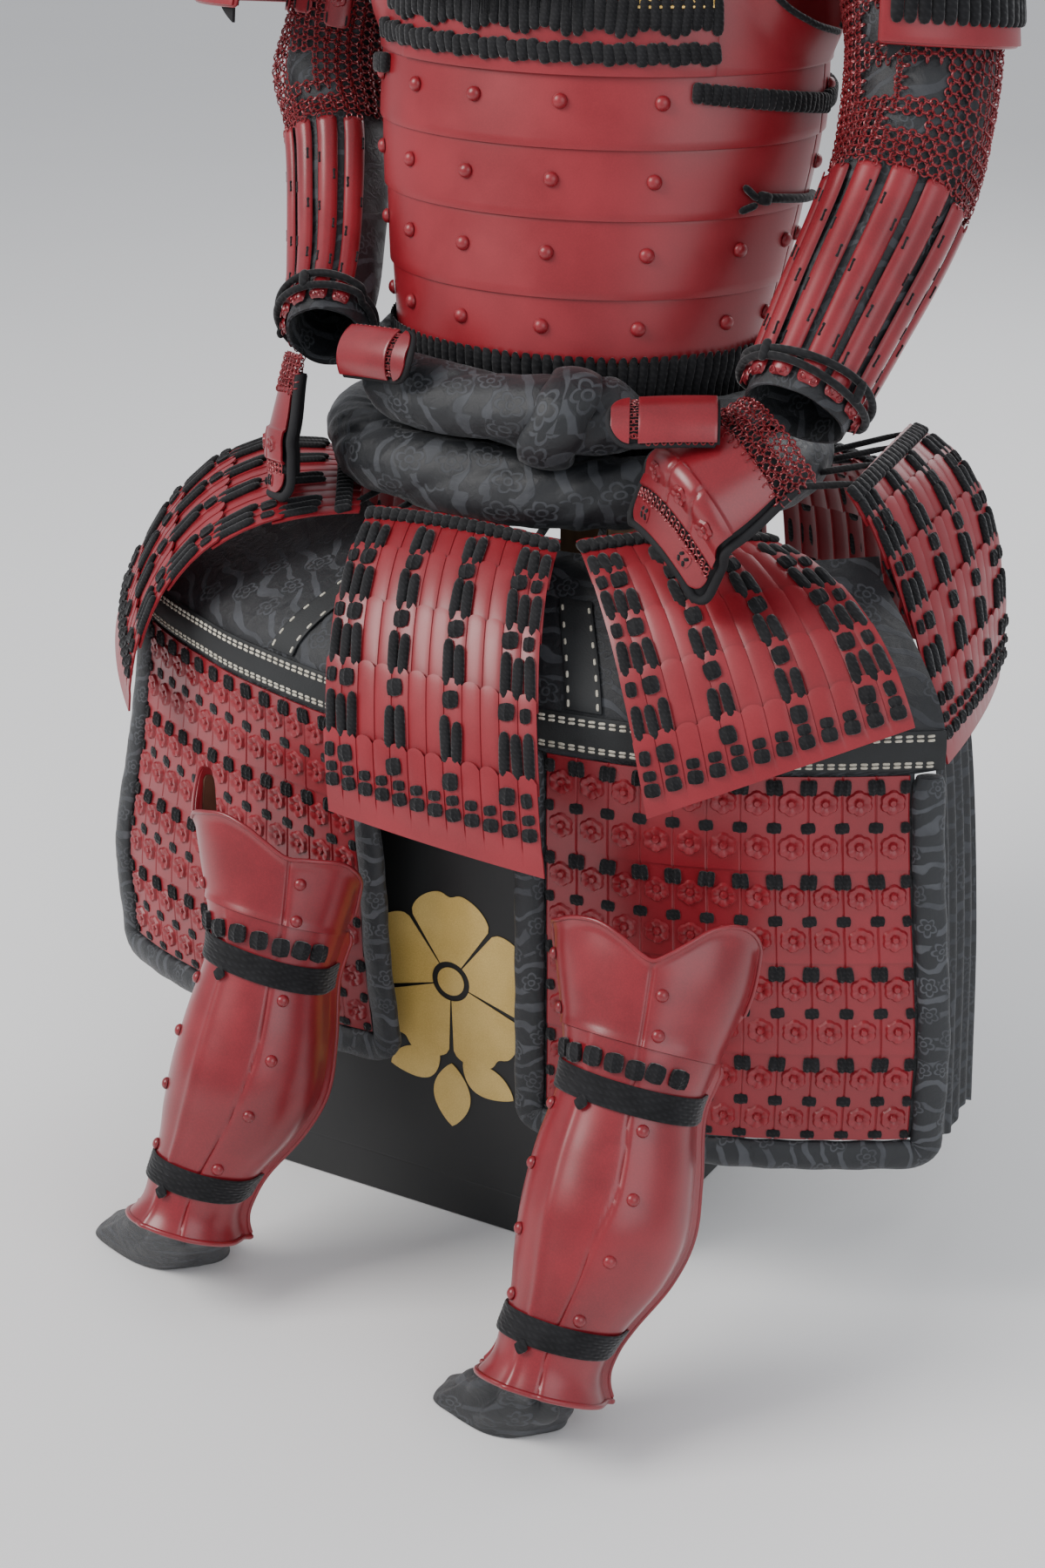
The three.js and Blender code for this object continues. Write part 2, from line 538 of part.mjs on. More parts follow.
function buildLegs() {
  for (const leg of legs) {
    const knee = (u, v) => {
      const start = lookup(leg.lobes, u);
      return legPoint(leg, u, start + (shin.kneeEnd - start) * v);
    };
    addWall(`knee_plate_${leg.side}`, knee, leg.lobes.map((row) => row[0]), [0, 0.34, 0.67, 1], 0,
      shin.wall, red);
    const columns = [-180, -162, -144, -128, -108, -84, -60, -36, -12,
      12, 36, 60, 84, 108, 128, 144, 162, 180];
    const rows = [shin.plateStart, 85, 105, 125, 146, 185, 220, 260, 281, 298, shin.length];
    const surface = facetted((u, v) => legPoint(leg, u, v), columns, rows);
    addWall(`shin_plate_${leg.side}`, surface, between(columns, -shin.half, shin.half), rows, 0,
      shin.wall, red);
    for (const [name, span] of [['upper', shin.strapUp], ['lower', shin.strapLow]]) {
      addWall(`shin_strap_${name}_${leg.side}`, surface, columns.slice(0, 17), span,
        -gap - 2.4, -gap, black, true);
    }
    const cloth = (u, v) => {
      const point = legPoint(leg, u * 360, Math.min(v, 304), v > 290 ? -12 : -9, false);
      const drop = smooth((v - 302) / 52);
      if (drop <= 0) return point;
      const a = (u * 360 + leg.roll) * rad;
      const { x, y, across, along } = leg.foot;
      return point.lerp(new THREE.Vector3(x + across * Math.sin(a), y - along * Math.cos(a), 0.6), drop);
    };
    addWall(`gaiter_${leg.side}`, cloth, spread(0, 1, 14).slice(0, 14),
      [78, 132, 185, 235, 285, 304, 318, 334, 354], 0, 2.4, brocade, true);
  }
}

// ---- arms
function armCurve(arm) { return new THREE.CatmullRomCurve3(arm.path.map(vec), false, 'centripetal'); }
function armPoint(arm, curve, angle, t) {
  const clamped = Math.min(1, Math.max(0, t));
  const centre = curve.getPointAt(clamped);
  const along = curve.getTangentAt(clamped);
  centre.addScaledVector(along, (t - clamped) * curve.getLength());
  const face = vec(arm.face);
  const out = face.addScaledVector(along, -face.dot(along)).normalize();
  const side = out.clone().cross(along).normalize();
  const r = lookup(sleeveRadii, t) * arm.thin;
  return centre.addScaledVector(out, r * Math.cos(angle * rad))
    .addScaledVector(side, r * Math.sin(angle * rad));
}
function buildArms() {
  const { sleeve, mail, guard, rib, ribs, half, end, strap } = armWall;
  const columns = spread(-half, 360 - half, 12);       // every seam between two splints is a column
  const loop = columns.slice(0, 12);
  const rows = spread(0, 1, 11);
  for (const arm of arms) {
    const curve = armCurve(arm);
    const skin = facetted((u, v) => armPoint(arm, curve, u, v), columns, rows);
    const band = (from, to) => between(rows, from, to);
    addWall(`sleeve_${arm.side}`, skin, loop, rows, 0, sleeve, brocade, true);
    addWall(`elbow_mail_${arm.side}`, skin, loop, band(...arm.mail), -gap - mail, -gap, mailRed, true);
    const cols = [];
    const raised = new Set();
    for (let k = 0; k < ribs; k++) {
      const a = -half + 2 * half * k / ribs;
      const b = -half + 2 * half * (k + 1) / ribs;
      cols.push(a + (k ? 0 : 0.1), a + 5, b - 5);
      raised.add(a + 5);
      raised.add(b - 5);
      if (k === ribs - 1) cols.push(b - 0.1);
    }
    const lift = (u) => -gap - guard - (raised.has(u) ? rib : 0);
    addWall(`forearm_guard_${arm.side}`, skin, cols, band(arm.mail[1] + 0.003, end), lift, -gap, red);
    const strapLow = (u) => -gap - (u < half + 5 ? guard + rib + 2.6 : 1.2);
    addWall(`wrist_strap_${arm.side}`, skin, loop, band(...strap), (u) => strapLow(u) - 2.2, strapLow,
      black, true);
    addWall(`upper_arm_guard_${arm.side}`, skin, between(columns, -75, 75), band(...arm.upper),
      -gap - guard, -gap, red);
    buildHand(arm);
  }
}

// ---- hand: cloth lining with its plate, thumb plate and wrist mail
function buildHand(arm) {
  const { at: start, along, out, size, curl, thumb: toward, root } = arm.hand;
  const h = vec(along).normalize();
  const n = vec(out);
  n.addScaledVector(h, -n.dot(h)).normalize();
  const w = n.clone().cross(h).normalize();
  const at = vec(start);
  const back = (u, v) => {                       // u across, v along the hand, in mm
    const bend = smooth((v - 56) / 22) * curl;
    const reach = (v - bend * (v - 60) * 0.5) * size;
    const dip = bend * (v - 60) * 0.85 * size;
    const a = u * (0.84 + 0.18 * smooth(v / 60)) * size / 56;
    return at.clone().addScaledVector(h, reach).addScaledVector(w, 56 * Math.sin(a))
      .addScaledVector(n, 20 + 56 * (Math.cos(a) - 1) - dip);
  };
  const columns = spread(-50, 50, 8);
  const rows = [-2, 8, 22, 44, 58, 68, 78, 92, 106];
  const skin = facetted(back, columns, rows);
  const side = arm.side;
  addWall(`hand_lining_${side}`, skin, columns, rows.slice(1), 0, 2.6, black);
  addWall(`hand_plate_${side}`, skin, between(columns, -45, 45), between(rows, 22, 101),
    -gap - 2.6, -gap, red);
  addWall(`wrist_mail_${side}`, skin, between(columns, -47, 47), between(rows, -2, 21.6),
    -gap - 2.6, -gap, mailRed);
  const t = vec(toward).normalize();
  const tn = n.clone().addScaledVector(t, -n.dot(t)).normalize();
  const tw = tn.clone().cross(t).normalize();
  const plate = (u, v) => vec(root).addScaledVector(t, v)
    .addScaledVector(tw, thumb.radius * Math.sin(u / thumb.radius))
    .addScaledVector(tn, thumb.radius * (Math.cos(u / thumb.radius) - 1) - 0.0014 * v * v);
  addWall(`thumb_plate_${side}`, plate, spread(-thumb.half, thumb.half, 4),
    spread(0, thumb.length, 3), 0, thumb.wall, red);
}

// ---- shoulder guards, plaque and hair fringe
function buildUpper() {
  for (const [side, sign, base, spreadOut, fall] of [['left', -1, 84, 34, 188], ['right', 1, 76, 0, 177]]) {
    const surface = (u, v) => {
      const radius = base + (6 + spreadOut) * v;
      const a = u * rad;
      const y = 62 + radius * Math.sin(a);
      return new THREE.Vector3(sign * (232 + radius * Math.cos(a)), y, 1090 - fall * v - 0.12 * (y - 60));
    };
    const vs = [];
    for (let k = 0; k < 4; k++) vs.push(k / 4 + (k ? 0.004 : 0), (k + 1) / 4 - (k < 3 ? 0.004 : 0));
    const lift = (u, v) => sign * -(1.8 + (vs.indexOf(v) % 2 === 0 ? 2.4 : 0));
    addWall(`shoulder_guard_${side}`, surface, spread(-76, 70, 8), vs, lift, 0, red);
  }
  const plaque = (u, v) => torsoPoint(u, v, chestPanel.raise + 1.4);
  addWall('chest_plaque', plaque, [22, 32, 42], [936, 982], 2.2, 0,
    { color: 0xd9b24c, roughness: 0.35, metalness: 0.9 });
  addWall('hair_fringe', (u, v) => torsoPoint(u, v, 4), spread(-34, 14, 6), [926, 980, 1050], 8, 0,
    { color: 0x0c0c0d, roughness: 0.95, metalness: 0.0 });
}

buildChest();
buildCuirass();
buildWaist();
buildFlaps();
buildThighs();
buildLegs();
buildArms();
buildUpper();

export default group;
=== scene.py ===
import math
import random

import bpy
import numpy as np
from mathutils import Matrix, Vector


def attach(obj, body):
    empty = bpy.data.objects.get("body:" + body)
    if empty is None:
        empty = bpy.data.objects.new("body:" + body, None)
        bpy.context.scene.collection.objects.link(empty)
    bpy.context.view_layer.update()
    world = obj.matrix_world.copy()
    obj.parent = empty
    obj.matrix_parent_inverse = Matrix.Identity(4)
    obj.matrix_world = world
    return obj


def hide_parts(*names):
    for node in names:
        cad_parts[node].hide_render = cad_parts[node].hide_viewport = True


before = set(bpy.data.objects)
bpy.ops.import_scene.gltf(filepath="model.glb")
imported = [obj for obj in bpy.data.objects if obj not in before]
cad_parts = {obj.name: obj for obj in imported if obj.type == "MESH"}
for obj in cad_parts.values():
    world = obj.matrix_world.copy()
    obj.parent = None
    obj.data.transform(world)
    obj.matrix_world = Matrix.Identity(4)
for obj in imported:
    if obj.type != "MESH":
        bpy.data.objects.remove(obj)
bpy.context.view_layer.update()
random.seed(11)
print("frame loaded:", len(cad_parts), "nodes")


# forms of the armour, in millimetres, the same as the solids under them

def vec(*p):
    return np.array(p, float)


def unit(v):
    return v / max(1e-9, float(np.linalg.norm(v)))


def spread(start, end, count):
    return [start + (end - start) * i / count for i in range(count + 1)]


def smooth(t):
    t = min(1.0, max(0.0, t))
    return t * t * (3 - 2 * t)


def turnVector(v, axis, degrees):
    a = math.radians(degrees)
    return v * math.cos(a) + np.cross(axis, v) * math.sin(a) + axis * float(axis @ v) * (1 - math.cos(a))


# reads a table of [station, value...] with rounded corners between its stations
def softRead(table, x, column=1):
    last = len(table) - 1
    if x <= table[0][0]:
        return table[0][column]
    if x >= table[last][0]:
        return table[last][column]
    i = 0
    while x > table[i + 1][0]:
        i += 1
    x0, x1 = table[i][0], table[i + 1][0]
    y0, y1 = table[i][column], table[i + 1][column]
    step = x1 - x0
    before = table[max(0, i - 1)]
    after = table[min(last, i + 2)]
    slope0 = (y1 - before[column]) / (x1 - before[0])
    slope1 = (after[column] - y0) / (after[0] - x0)
    t = (x - x0) / step
    return ((2 * t**3 - 3 * t**2 + 1) * y0 + (t**3 - 2 * t**2 + t) * step * slope0
            + (3 * t**2 - 2 * t**3) * y1 + (t**3 - t**2) * step * slope1)


# smooth line through points, read by its share of the length
class Track:
    def __init__(self, points, fine=300):
        p = [np.array(q, float) for q in points]
        p = [2 * p[0] - p[1], *p, 2 * p[-1] - p[-2]]
        line = []
        spans = len(p) - 3
        for k in range(fine + 1):
            at = min(spans - 1e-9, k / fine * spans)
            i = int(at)
            t = at - i
            a, b, c, d = p[i:i + 4]
            d0, d1, d2 = (max(1e-4, float(np.linalg.norm(q)) ** 0.5) for q in (b - a, c - b, d - c))
            m1 = ((b - a) / d0 - (c - a) / (d0 + d1) + (c - b) / d1) * d1
            m2 = ((c - b) / d1 - (d - b) / (d1 + d2) + (d - c) / d2) * d1
            line.append(b + m1 * t + (3 * (c - b) - 2 * m1 - m2) * t**2 + (2 * (b - c) + m1 + m2) * t**3)
        self.line = np.array(line)
        steps = np.linalg.norm(np.diff(self.line, axis=0), axis=1)
        self.share = np.concatenate([[0], np.cumsum(steps)])
        self.length = float(self.share[-1])
        self.share /= self.length

    def at(self, t):
        t = min(1.0, max(0.0, t))
        return np.array([np.interp(t, self.share, self.line[:, k]) for k in range(3)])

    def along(self, t):
        return unit(self.at(t + 0.004) - self.at(t - 0.004))


# cuirass: height, half width, half depth, lean
figureTurn = math.radians(7)
torsoRings = [[560, 138, 106, 12], [686, 147, 115, 16], [732, 156, 120, 25], [788, 166, 126, 39],
              [838, 174, 132, 51], [889, 176, 131, 57], [940, 177, 129, 61], [1010, 175, 125, 65],
              [1120, 168, 116, 70]]
frontTop = [[0, 1080], [30, 1082], [36, 1066], [44, 1000], [57, 946], [72, 922], [90, 910]]
backTop = [[0, 1112], [34, 1112], [42, 1080], [54, 990], [68, 935], [90, 912]]


def torsoAt(angle, z, out=0.0):
    a = math.radians(angle)
    x = (softRead(torsoRings, z, 1) + out) * math.sin(a)
    y = -(softRead(torsoRings, z, 2) + out) * math.cos(a)
    lean = softRead(torsoRings, z, 3)
    c, s = math.cos(figureTurn), math.sin(figureTurn)
    return vec(x * c - y * s - 0.12 * (lean - 16), x * s + y * c + lean, z)


# skirt flaps: top, control and bottom point of both edges
flapForms = {
    "tasset_centre": dict(camber=5, a=[[-90, -147, 564], [-66, -262, 536], [-40, -290, 382]],
                          b=[[76, -149, 564], [112, -262, 545], [144, -292, 371]]),
    "tasset_front_right": dict(camber=6, a=[[86, -146, 565], [160, -224, 548], [200, -246, 412]],
                               b=[[200, -66, 565], [318, -128, 575], [368, -172, 490]]),
    "tasset_side_right": dict(camber=5, a=[[250, -42, 602], [292, -42, 572], [343, -40, 408]],
                              b=[[228, 130, 606], [318, 136, 592], [314, 140, 410]]),
    "tasset_back_right": dict(camber=5, a=[[186, 146, 561], [262, 232, 552], [252, 250, 380]],
                              b=[[56, 196, 561], [62, 262, 552], [64, 284, 380]]),
    "tasset_back": dict(camber=5, a=[[40, 200, 561], [44, 266, 550], [44, 290, 378]],
                        b=[[-108, 190, 561], [-140, 262, 550], [-146, 280, 378]]),
    "tasset_side_left": dict(camber=5, a=[[-126, 182, 561], [-200, 246, 552], [-214, 254, 380]],
                             b=[[-212, 56, 561], [-300, 74, 552], [-312, 80, 380]]),
    "tasset_front_left": dict(camber=6, a=[[-208, 6, 552], [-312, -68, 606], [-364, -118, 424]],
                              b=[[-106, -146, 556], [-244, -226, 562], [-274, -224, 390]]),
}


def bend(three, t):
    p, q, r = (np.array(k, float) for k in three)
    return p * (1 - t) ** 2 + q * 2 * t * (1 - t) + r * t * t


def flapAt(form, u, v, out=0.0):
    p, q = bend(form["a"], v), bend(form["b"], v)
    down = bend(form["a"], v + 0.01) - bend(form["a"], v - 0.01)
    outward = -unit(np.cross(q - p, down))
    return p + (q - p) * u + outward * (4 * form["camber"] * u * (1 - u) + out)


# thigh guards: plan line of the panel, then height and how far back the cloth lies there
thighForms = {
    "left": dict(reach=0.34, splay=40, lean=30, lift=22, strap=0.7,
                 line=[[-366, -132], [-310, -164], [-251, -191], [-200, -212], [-154, -226], [-88, -243],
                       [-26, -254]]),
    "right": dict(reach=0.3, splay=18, lean=0, lift=0, strap=0.17,
                  line=[[84, -229], [128, -225], [172, -219], [218, -208], [262, -192], [320, -163],
                        [390, -120]]),
}
for form in thighForms.values():
    form["track"] = Track([[x, y, 0] for x, y in form["line"]])
thighBack = [[-553, 100], [-530, 62], [-510, 34], [-490, 12], [-470, 1], [-440, 0], [-437, 0], [-380, 0],
             [-300, 1], [-220, 0], [-142.5, 2]]


def thighAt(side, u, z, out=0.0):
    form = thighForms[side]
    length = form["track"].length
    t = min(1, max(0, u / length))
    back = softRead(thighBack, -z)
    outer = 1 - t if side == "left" else t
    p = form["track"].at(t) + form["track"].along(t) * (u - t * length)
    low = min(1, max(0, (440 - z) / 300))
    inward = outer * (form["reach"] * length * min(1, back / 92) + form["splay"] * smooth((z - 200) / 240))
    spill = (1 - outer) * 36 * min(1, back / 60)
    sign = 1 if side == "left" else -1
    spot = vec(p[0] + sign * (inward + spill), p[1] + back + form["lean"] * (1 - outer) ** 2 * low,
               z + form["lift"] * (1 - outer) * low)
    if out:
        side2 = thighAt(side, u + 1, z) - thighAt(side, u - 1, z)
        fall = thighAt(side, u, z - 1) - thighAt(side, u, z + 1)
        spot = spot - unit(np.cross(side2, fall)) * out
    return spot


# shin guards: station down the shin, half width, half depth
shinSizes = [[-60, 74, 50], [0, 72, 50], [31, 65, 47], [71, 54, 43], [98, 50, 42], [146, 57, 46],
             [185, 59.5, 49],
             [220, 54, 44], [258, 42, 39], [280, 39, 38.7], [296, 38.5, 38.5], [312, 45, 42]]
legForms = {
    "left": dict(wide=0.95, foot=(-174, -347, 58, 40),
                 axis=[[18, -94, -282, 327], [72, -86, -304, 278], [100, -85, -315, 252],
                       [148, -85, -334, 208],
                       [189, -87, -350, 170], [230, -95, -366, 134], [261, -104, -378, 107],
                       [279, -109, -384, 91], [314, -113, -399, 59]],
                 lobes=[[-132, -2], [-123, -26], [-110, -31], [-97, -28], [-87, -12], [-79, 4], [-62, -1],
                        [-44, -5], [-26, -8], [-9, -4], [4, 3], [18, 10], [32, 8], [56, 5], [70, 8], [84, 14],
                        [97, 22], [112, 46]]),
    "right": dict(wide=1.0, foot=(170, -402, 51, 34),
                  axis=[[0, 222, -276, 320], [71, 229, -311, 259], [98, 229, -324, 235],
                        [146, 231, -347, 194],
                        [185, 233, -366, 159], [220, 231, -383, 129], [258, 224, -401, 96],
                        [280, 219, -411, 78], [312, 217, -427, 49]],
                  lobes=[[-112, 32], [-98, 8], [-86, -6], [-65, -10], [-44, -15], [-27, -16], [-12, -10],
                         [0, -2], [7, 0], [14, -6], [24, -17], [36, -30], [50, -37], [64, -37], [80, -31],
                         [95, -20], [112, 24]]),
}
legRoll = 15
for leg in legForms.values():
    top, end = np.array(leg["axis"][0][1:], float), np.array(leg["axis"][-1][1:], float)
    leg["down"] = unit(end - top)
    across = unit(vec(1, 0, 0) - leg["down"] * leg["down"][0])
    ahead = unit(np.cross(leg["down"], across))
    ahead = ahead * (-1 if ahead[1] > 0 else 1)
    leg["across"] = turnVector(across, leg["down"], -legRoll)
    leg["ahead"] = turnVector(ahead, leg["down"], -legRoll)


def legAt(side, angle, s, out=0.0, openBack=True):
    leg = legForms[side]
    rows = leg["axis"]
    if s < rows[0][0]:
        near, far = rows[0], rows[1]
        centre = np.array([near[k] + (far[k] - near[k]) * (s - near[0]) / (far[0] - near[0]) for k in (1, 2,
                                                                                                       3)])
    else:
        centre = np.array([softRead(rows, s, k) for k in (1, 2, 3)])
        centre = centre + leg["down"] * max(0, s - rows[-1][0])
    past = abs(angle) - 90
    a = math.radians(angle)
    across, ahead = math.sin(a), math.cos(a)
    if openBack and past > 0:
        across = math.copysign(math.cos(math.radians(0.35 * past)), angle)
        if past > 38:
            across *= math.cos((past - 38) / 52 * math.pi / 2)
        ahead = -math.sin(math.radians(past))
    return (centre + leg["across"] * (softRead(shinSizes, s, 1) * leg["wide"] + out) * across
            + leg["ahead"] * (softRead(shinSizes, s, 2) * leg["wide"] + out) * ahead)


# arms: path of the limb, the way its guard faces, the share of the path that each piece takes
armForms = {
    "left": dict(thin=0.82, face=vec(-0.78, -0.5, 0.38), mail=(0.30, 0.535), upper=(0.06, 0.292),
                 path=[[-206, 82, 1066], [-232, 80, 990], [-248, 74, 905], [-250, 60, 853], [-240, 47, 814],
                       [-223, 22, 778], [-202, -15, 738], [-177, -62, 702], [-163, -97, 680]],
                 hand=dict(at=vec(-162, -114, 660), along=vec(-0.09, -0.35, -0.93),
                           out=vec(-0.86, -0.48, 0.2),
                           size=0.9, curl=0.25, thumb=vec(0.93, -0.33, 0.13), root=vec(-122, -138, 686))),
    "right": dict(thin=1.0, face=vec(0.42, -0.7, 0.58), mail=(0.22, 0.59), upper=(0.04, 0.212),
                  path=[[214, 78, 1066], [236, 70, 990], [256, 50, 905], [263, 26, 846], [260, -4, 802],
                        [252, -66, 738], [245, -122, 682]],
                  hand=dict(at=vec(237, -138, 663), along=vec(-0.56, -0.7, -0.44), out=vec(0.16, -0.62, 0.76),
                            size=1.1, curl=1, thumb=vec(-0.88, -0.47, 0.02), root=vec(210, -171, 689))),
}
sleeveRadii = [[0, 60], [0.2, 54], [0.42, 51.5], [0.55, 50], [0.75, 46], [1, 38]]
for arm in armForms.values():
    arm["track"] = Track(arm["path"])


def armAt(side, angle, t, out=0.0):
    arm = armForms[side]
    held = min(1, max(0, t))
    along = arm["track"].along(held)
    centre = arm["track"].at(held) + along * (t - held) * arm["track"].length
    front = unit(arm["face"] - along * float(arm["face"] @ along))
    beside = unit(np.cross(front, along))
    r = softRead(sleeveRadii, t) * arm["thin"] + out
    a = math.radians(angle)
    return centre + front * r * math.cos(a) + beside * r * math.sin(a)


# hands: u across and v along the back of the hand
for arm in armForms.values():
    hand = arm["hand"]
    hand["h"] = unit(hand["along"])
    hand["n"] = unit(hand["out"] - hand["h"] * float(hand["out"] @ hand["h"]))
    hand["w"] = unit(np.cross(hand["n"], hand["h"]))
    hand["t"] = unit(hand["thumb"])
    hand["tn"] = unit(hand["n"] - hand["t"] * float(hand["n"] @ hand["t"]))
    hand["tw"] = unit(np.cross(hand["tn"], hand["t"]))


def handAt(side, u, v, out=0.0):
    hand = armForms[side]["hand"]
    fold = smooth((v - 56) / 22) * hand["curl"]
    size = hand["size"]
    reach = (v - fold * (v - 60) * 0.5) * size
    dip = fold * (v - 60) * 0.85 * size
    a = u * (0.84 + 0.18 * smooth(v / 60)) * size / 56
    spot = (hand["at"] + hand["h"] * reach + hand["w"] * 56 * math.sin(a)
            + hand["n"] * (20 + 56 * (math.cos(a) - 1) - dip))
    if out:
        across = handAt(side, u + 1, v) - handAt(side, u - 1, v)
        ahead = handAt(side, u, v + 1) - handAt(side, u, v - 1)
        spot = spot - unit(np.cross(across, ahead)) * out
    return spot


def thumbAt(side, u, v, out=0.0):
    hand = armForms[side]["hand"]
    a = u / 26
    return (hand["root"] + hand["t"] * v + hand["tw"] * (26 + out) * math.sin(a)
            + hand["tn"] * ((26 + out) * math.cos(a) - 26 - 0.0014 * v * v))


guardForms = {"left": (-1, 84, 34, 188), "right": (1, 76, 0, 177)}


def shoulderAt(side, angle, v, out=0.0):
    sign, base, more, fall = guardForms[side]
    radius = base + (6 + more) * v + out
    a = math.radians(angle)
    y = 62 + radius * math.sin(a)
    return vec(sign * (232 + radius * math.cos(a)), y, 1090 - fall * v - 0.12 * (y - 60))


# making and finishing of pieces

def deselectAll():
    if bpy.context.object and bpy.context.object.mode != "OBJECT":
        bpy.ops.object.mode_set(mode="OBJECT")
    bpy.ops.object.select_all(action="DESELECT")


def pick(piece):
    deselectAll()
    piece.select_set(True)
    bpy.context.view_layer.objects.active = piece


def added(name):
    piece = bpy.context.object
    piece.name = name
    piece.data.name = name
    return piece


def modify(piece, kind, **values):
    pick(piece)
    modifier = piece.modifiers.new(kind.title(), kind)
    for key, value in values.items():
        setattr(modifier, key, value)
    bpy.ops.object.modifier_apply(modifier=modifier.name)


def thicken(piece, wall, side=-1.0, even=True):  # wall in millimetres; side -1 grows inwards, 1 outwards
    modify(piece, "SOLIDIFY", thickness=wall / 1000, offset=side, use_even_offset=even,
           use_quality_normals=True)


def roundEdges(piece, width, segments=2, angle=40):
    modify(piece, "BEVEL", width=width / 1000, segments=segments, limit_method="ANGLE",
           angle_limit=math.radians(angle), harden_normals=False)


def weld(piece, near=0.00001, normals=False):
    pick(piece)
    bpy.ops.object.mode_set(mode="EDIT")
    bpy.ops.mesh.select_all(action="SELECT")
    bpy.ops.mesh.remove_doubles(threshold=near)
    if normals:
        bpy.ops.mesh.normals_make_consistent(inside=False)
    bpy.ops.object.mode_set(mode="OBJECT")


def shade(piece, angle=38):
    pick(piece)
    bpy.ops.object.shade_smooth_by_angle(angle=math.radians(angle))


# a flat grid laid on a form; its UV map holds metres along the columns and the rows
def layGrid(name, place, us, vs, ring=False, flip=False):
    deselectAll()
    bpy.ops.mesh.primitive_grid_add(x_subdivisions=len(us) - 1, y_subdivisions=len(vs) - 1, size=1,
                                    calc_uvs=True)
    piece = added(name)
    mesh = piece.data
    nu, nv = len(us), len(vs)
    spots = np.array([[place(u, v) for v in vs] for u in us]) / 1000
    middle = spots[:, nv // 2]
    across = np.concatenate([[0], np.cumsum(np.linalg.norm(np.diff(middle, axis=0), axis=1))])
    middle = spots[nu // 2]
    along = np.concatenate([[0], np.cumsum(np.linalg.norm(np.diff(middle, axis=0), axis=1))])
    home = [(round((q.co.x + 0.5) * (nu - 1)), round((q.co.y + 0.5) * (nv - 1))) for q in mesh.vertices]
    mesh.vertices.foreach_set("co", np.array([spots[i, j] for i, j in home]).ravel())
    turn = [home[loop.vertex_index] for loop in mesh.loops]
    mesh.uv_layers[0].data.foreach_set("uv", np.array([[across[i], along[j]] for i, j in turn]).ravel())
    mesh.update()
    if flip:
        mesh.flip_normals()
    if ring:
        weld(piece)
    return piece


# one small model repeated over many places as one joined mesh; a place is (point, x, y and z columns)
def scatter(name, model, places, material, slotName):
    source = model.data
    co = np.array([q.co for q in source.vertices])
    spots = np.array([[p, x, y, z] for p, x, y, z in places])
    made = (spots[:, None, 0] + co[None, :, 0, None] * spots[:, None, 1] + co[None, :, 1, None] * spots[:,
                                                                                                        None, 2]
            + co[None, :, 2, None] * spots[:, None, 3]) / 1000
    count = len(co)
    faces = [[k + n * count for k in f.vertices] for n in range(len(spots)) for f in source.polygons]
    mesh = bpy.data.meshes.new(name)
    mesh.from_pydata(made.reshape(-1, 3).tolist(), [], faces)
    if source.uv_layers:
        uv = np.array([q.uv for q in source.uv_layers[0].data])
        layer = mesh.uv_layers.new(name="UVMap")
        layer.data.foreach_set("uv", np.tile(uv, (len(spots), 1)).ravel())
    mesh.update()
    piece = bpy.data.objects.new(name, mesh)
    bpy.context.scene.collection.objects.link(piece)
    shade(piece, 50)
    return complete(piece, material, slotName)


def complete(piece, material, slotName, *nodes):
    piece.data.materials.clear()
    piece.data.materials.append(material)
    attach(piece, "root")
    if nodes:
        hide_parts(*nodes)
    return piece


def joinAll(name, pieces):
    deselectAll()
    for piece in pieces:
        piece.select_set(True)
    bpy.context.view_layer.objects.active = pieces[0]
    bpy.ops.object.join()
    return added(name)


def cutAway(*pieces):
    for piece in pieces:
        bpy.data.objects.remove(piece)


# point and directions on a form: returns point, across, up and outward
def stationOn(place, u, v, stepU, stepV, lift=0.0, flip=False):
    point = place(u, v)
    across = unit(place(u + stepU, v) - place(u - stepU, v))
    up = place(u, v + stepV) - place(u, v - stepV)
    out = unit(np.cross(across, up)) * (-1 if flip else 1)
    up = unit(up)
    return point + out * lift, across, up, out


# place for scatter: size in millimetres, spin in degrees about the outward direction
def spotOn(place, u, v, size, stepU=0.5, stepV=0.5, lift=0.0, spin=0.0, flip=False):
    point, across, up, out = stationOn(place, u, v, stepU, stepV, lift, flip)
    up = unit(up - out * float(up @ out))
    side = np.cross(up, out)
    a = math.radians(spin)
    x = side * math.cos(a) + up * math.sin(a)
    y = up * math.cos(a) - side * math.sin(a)
    return point, x * size[0], y * size[1], out * size[2]


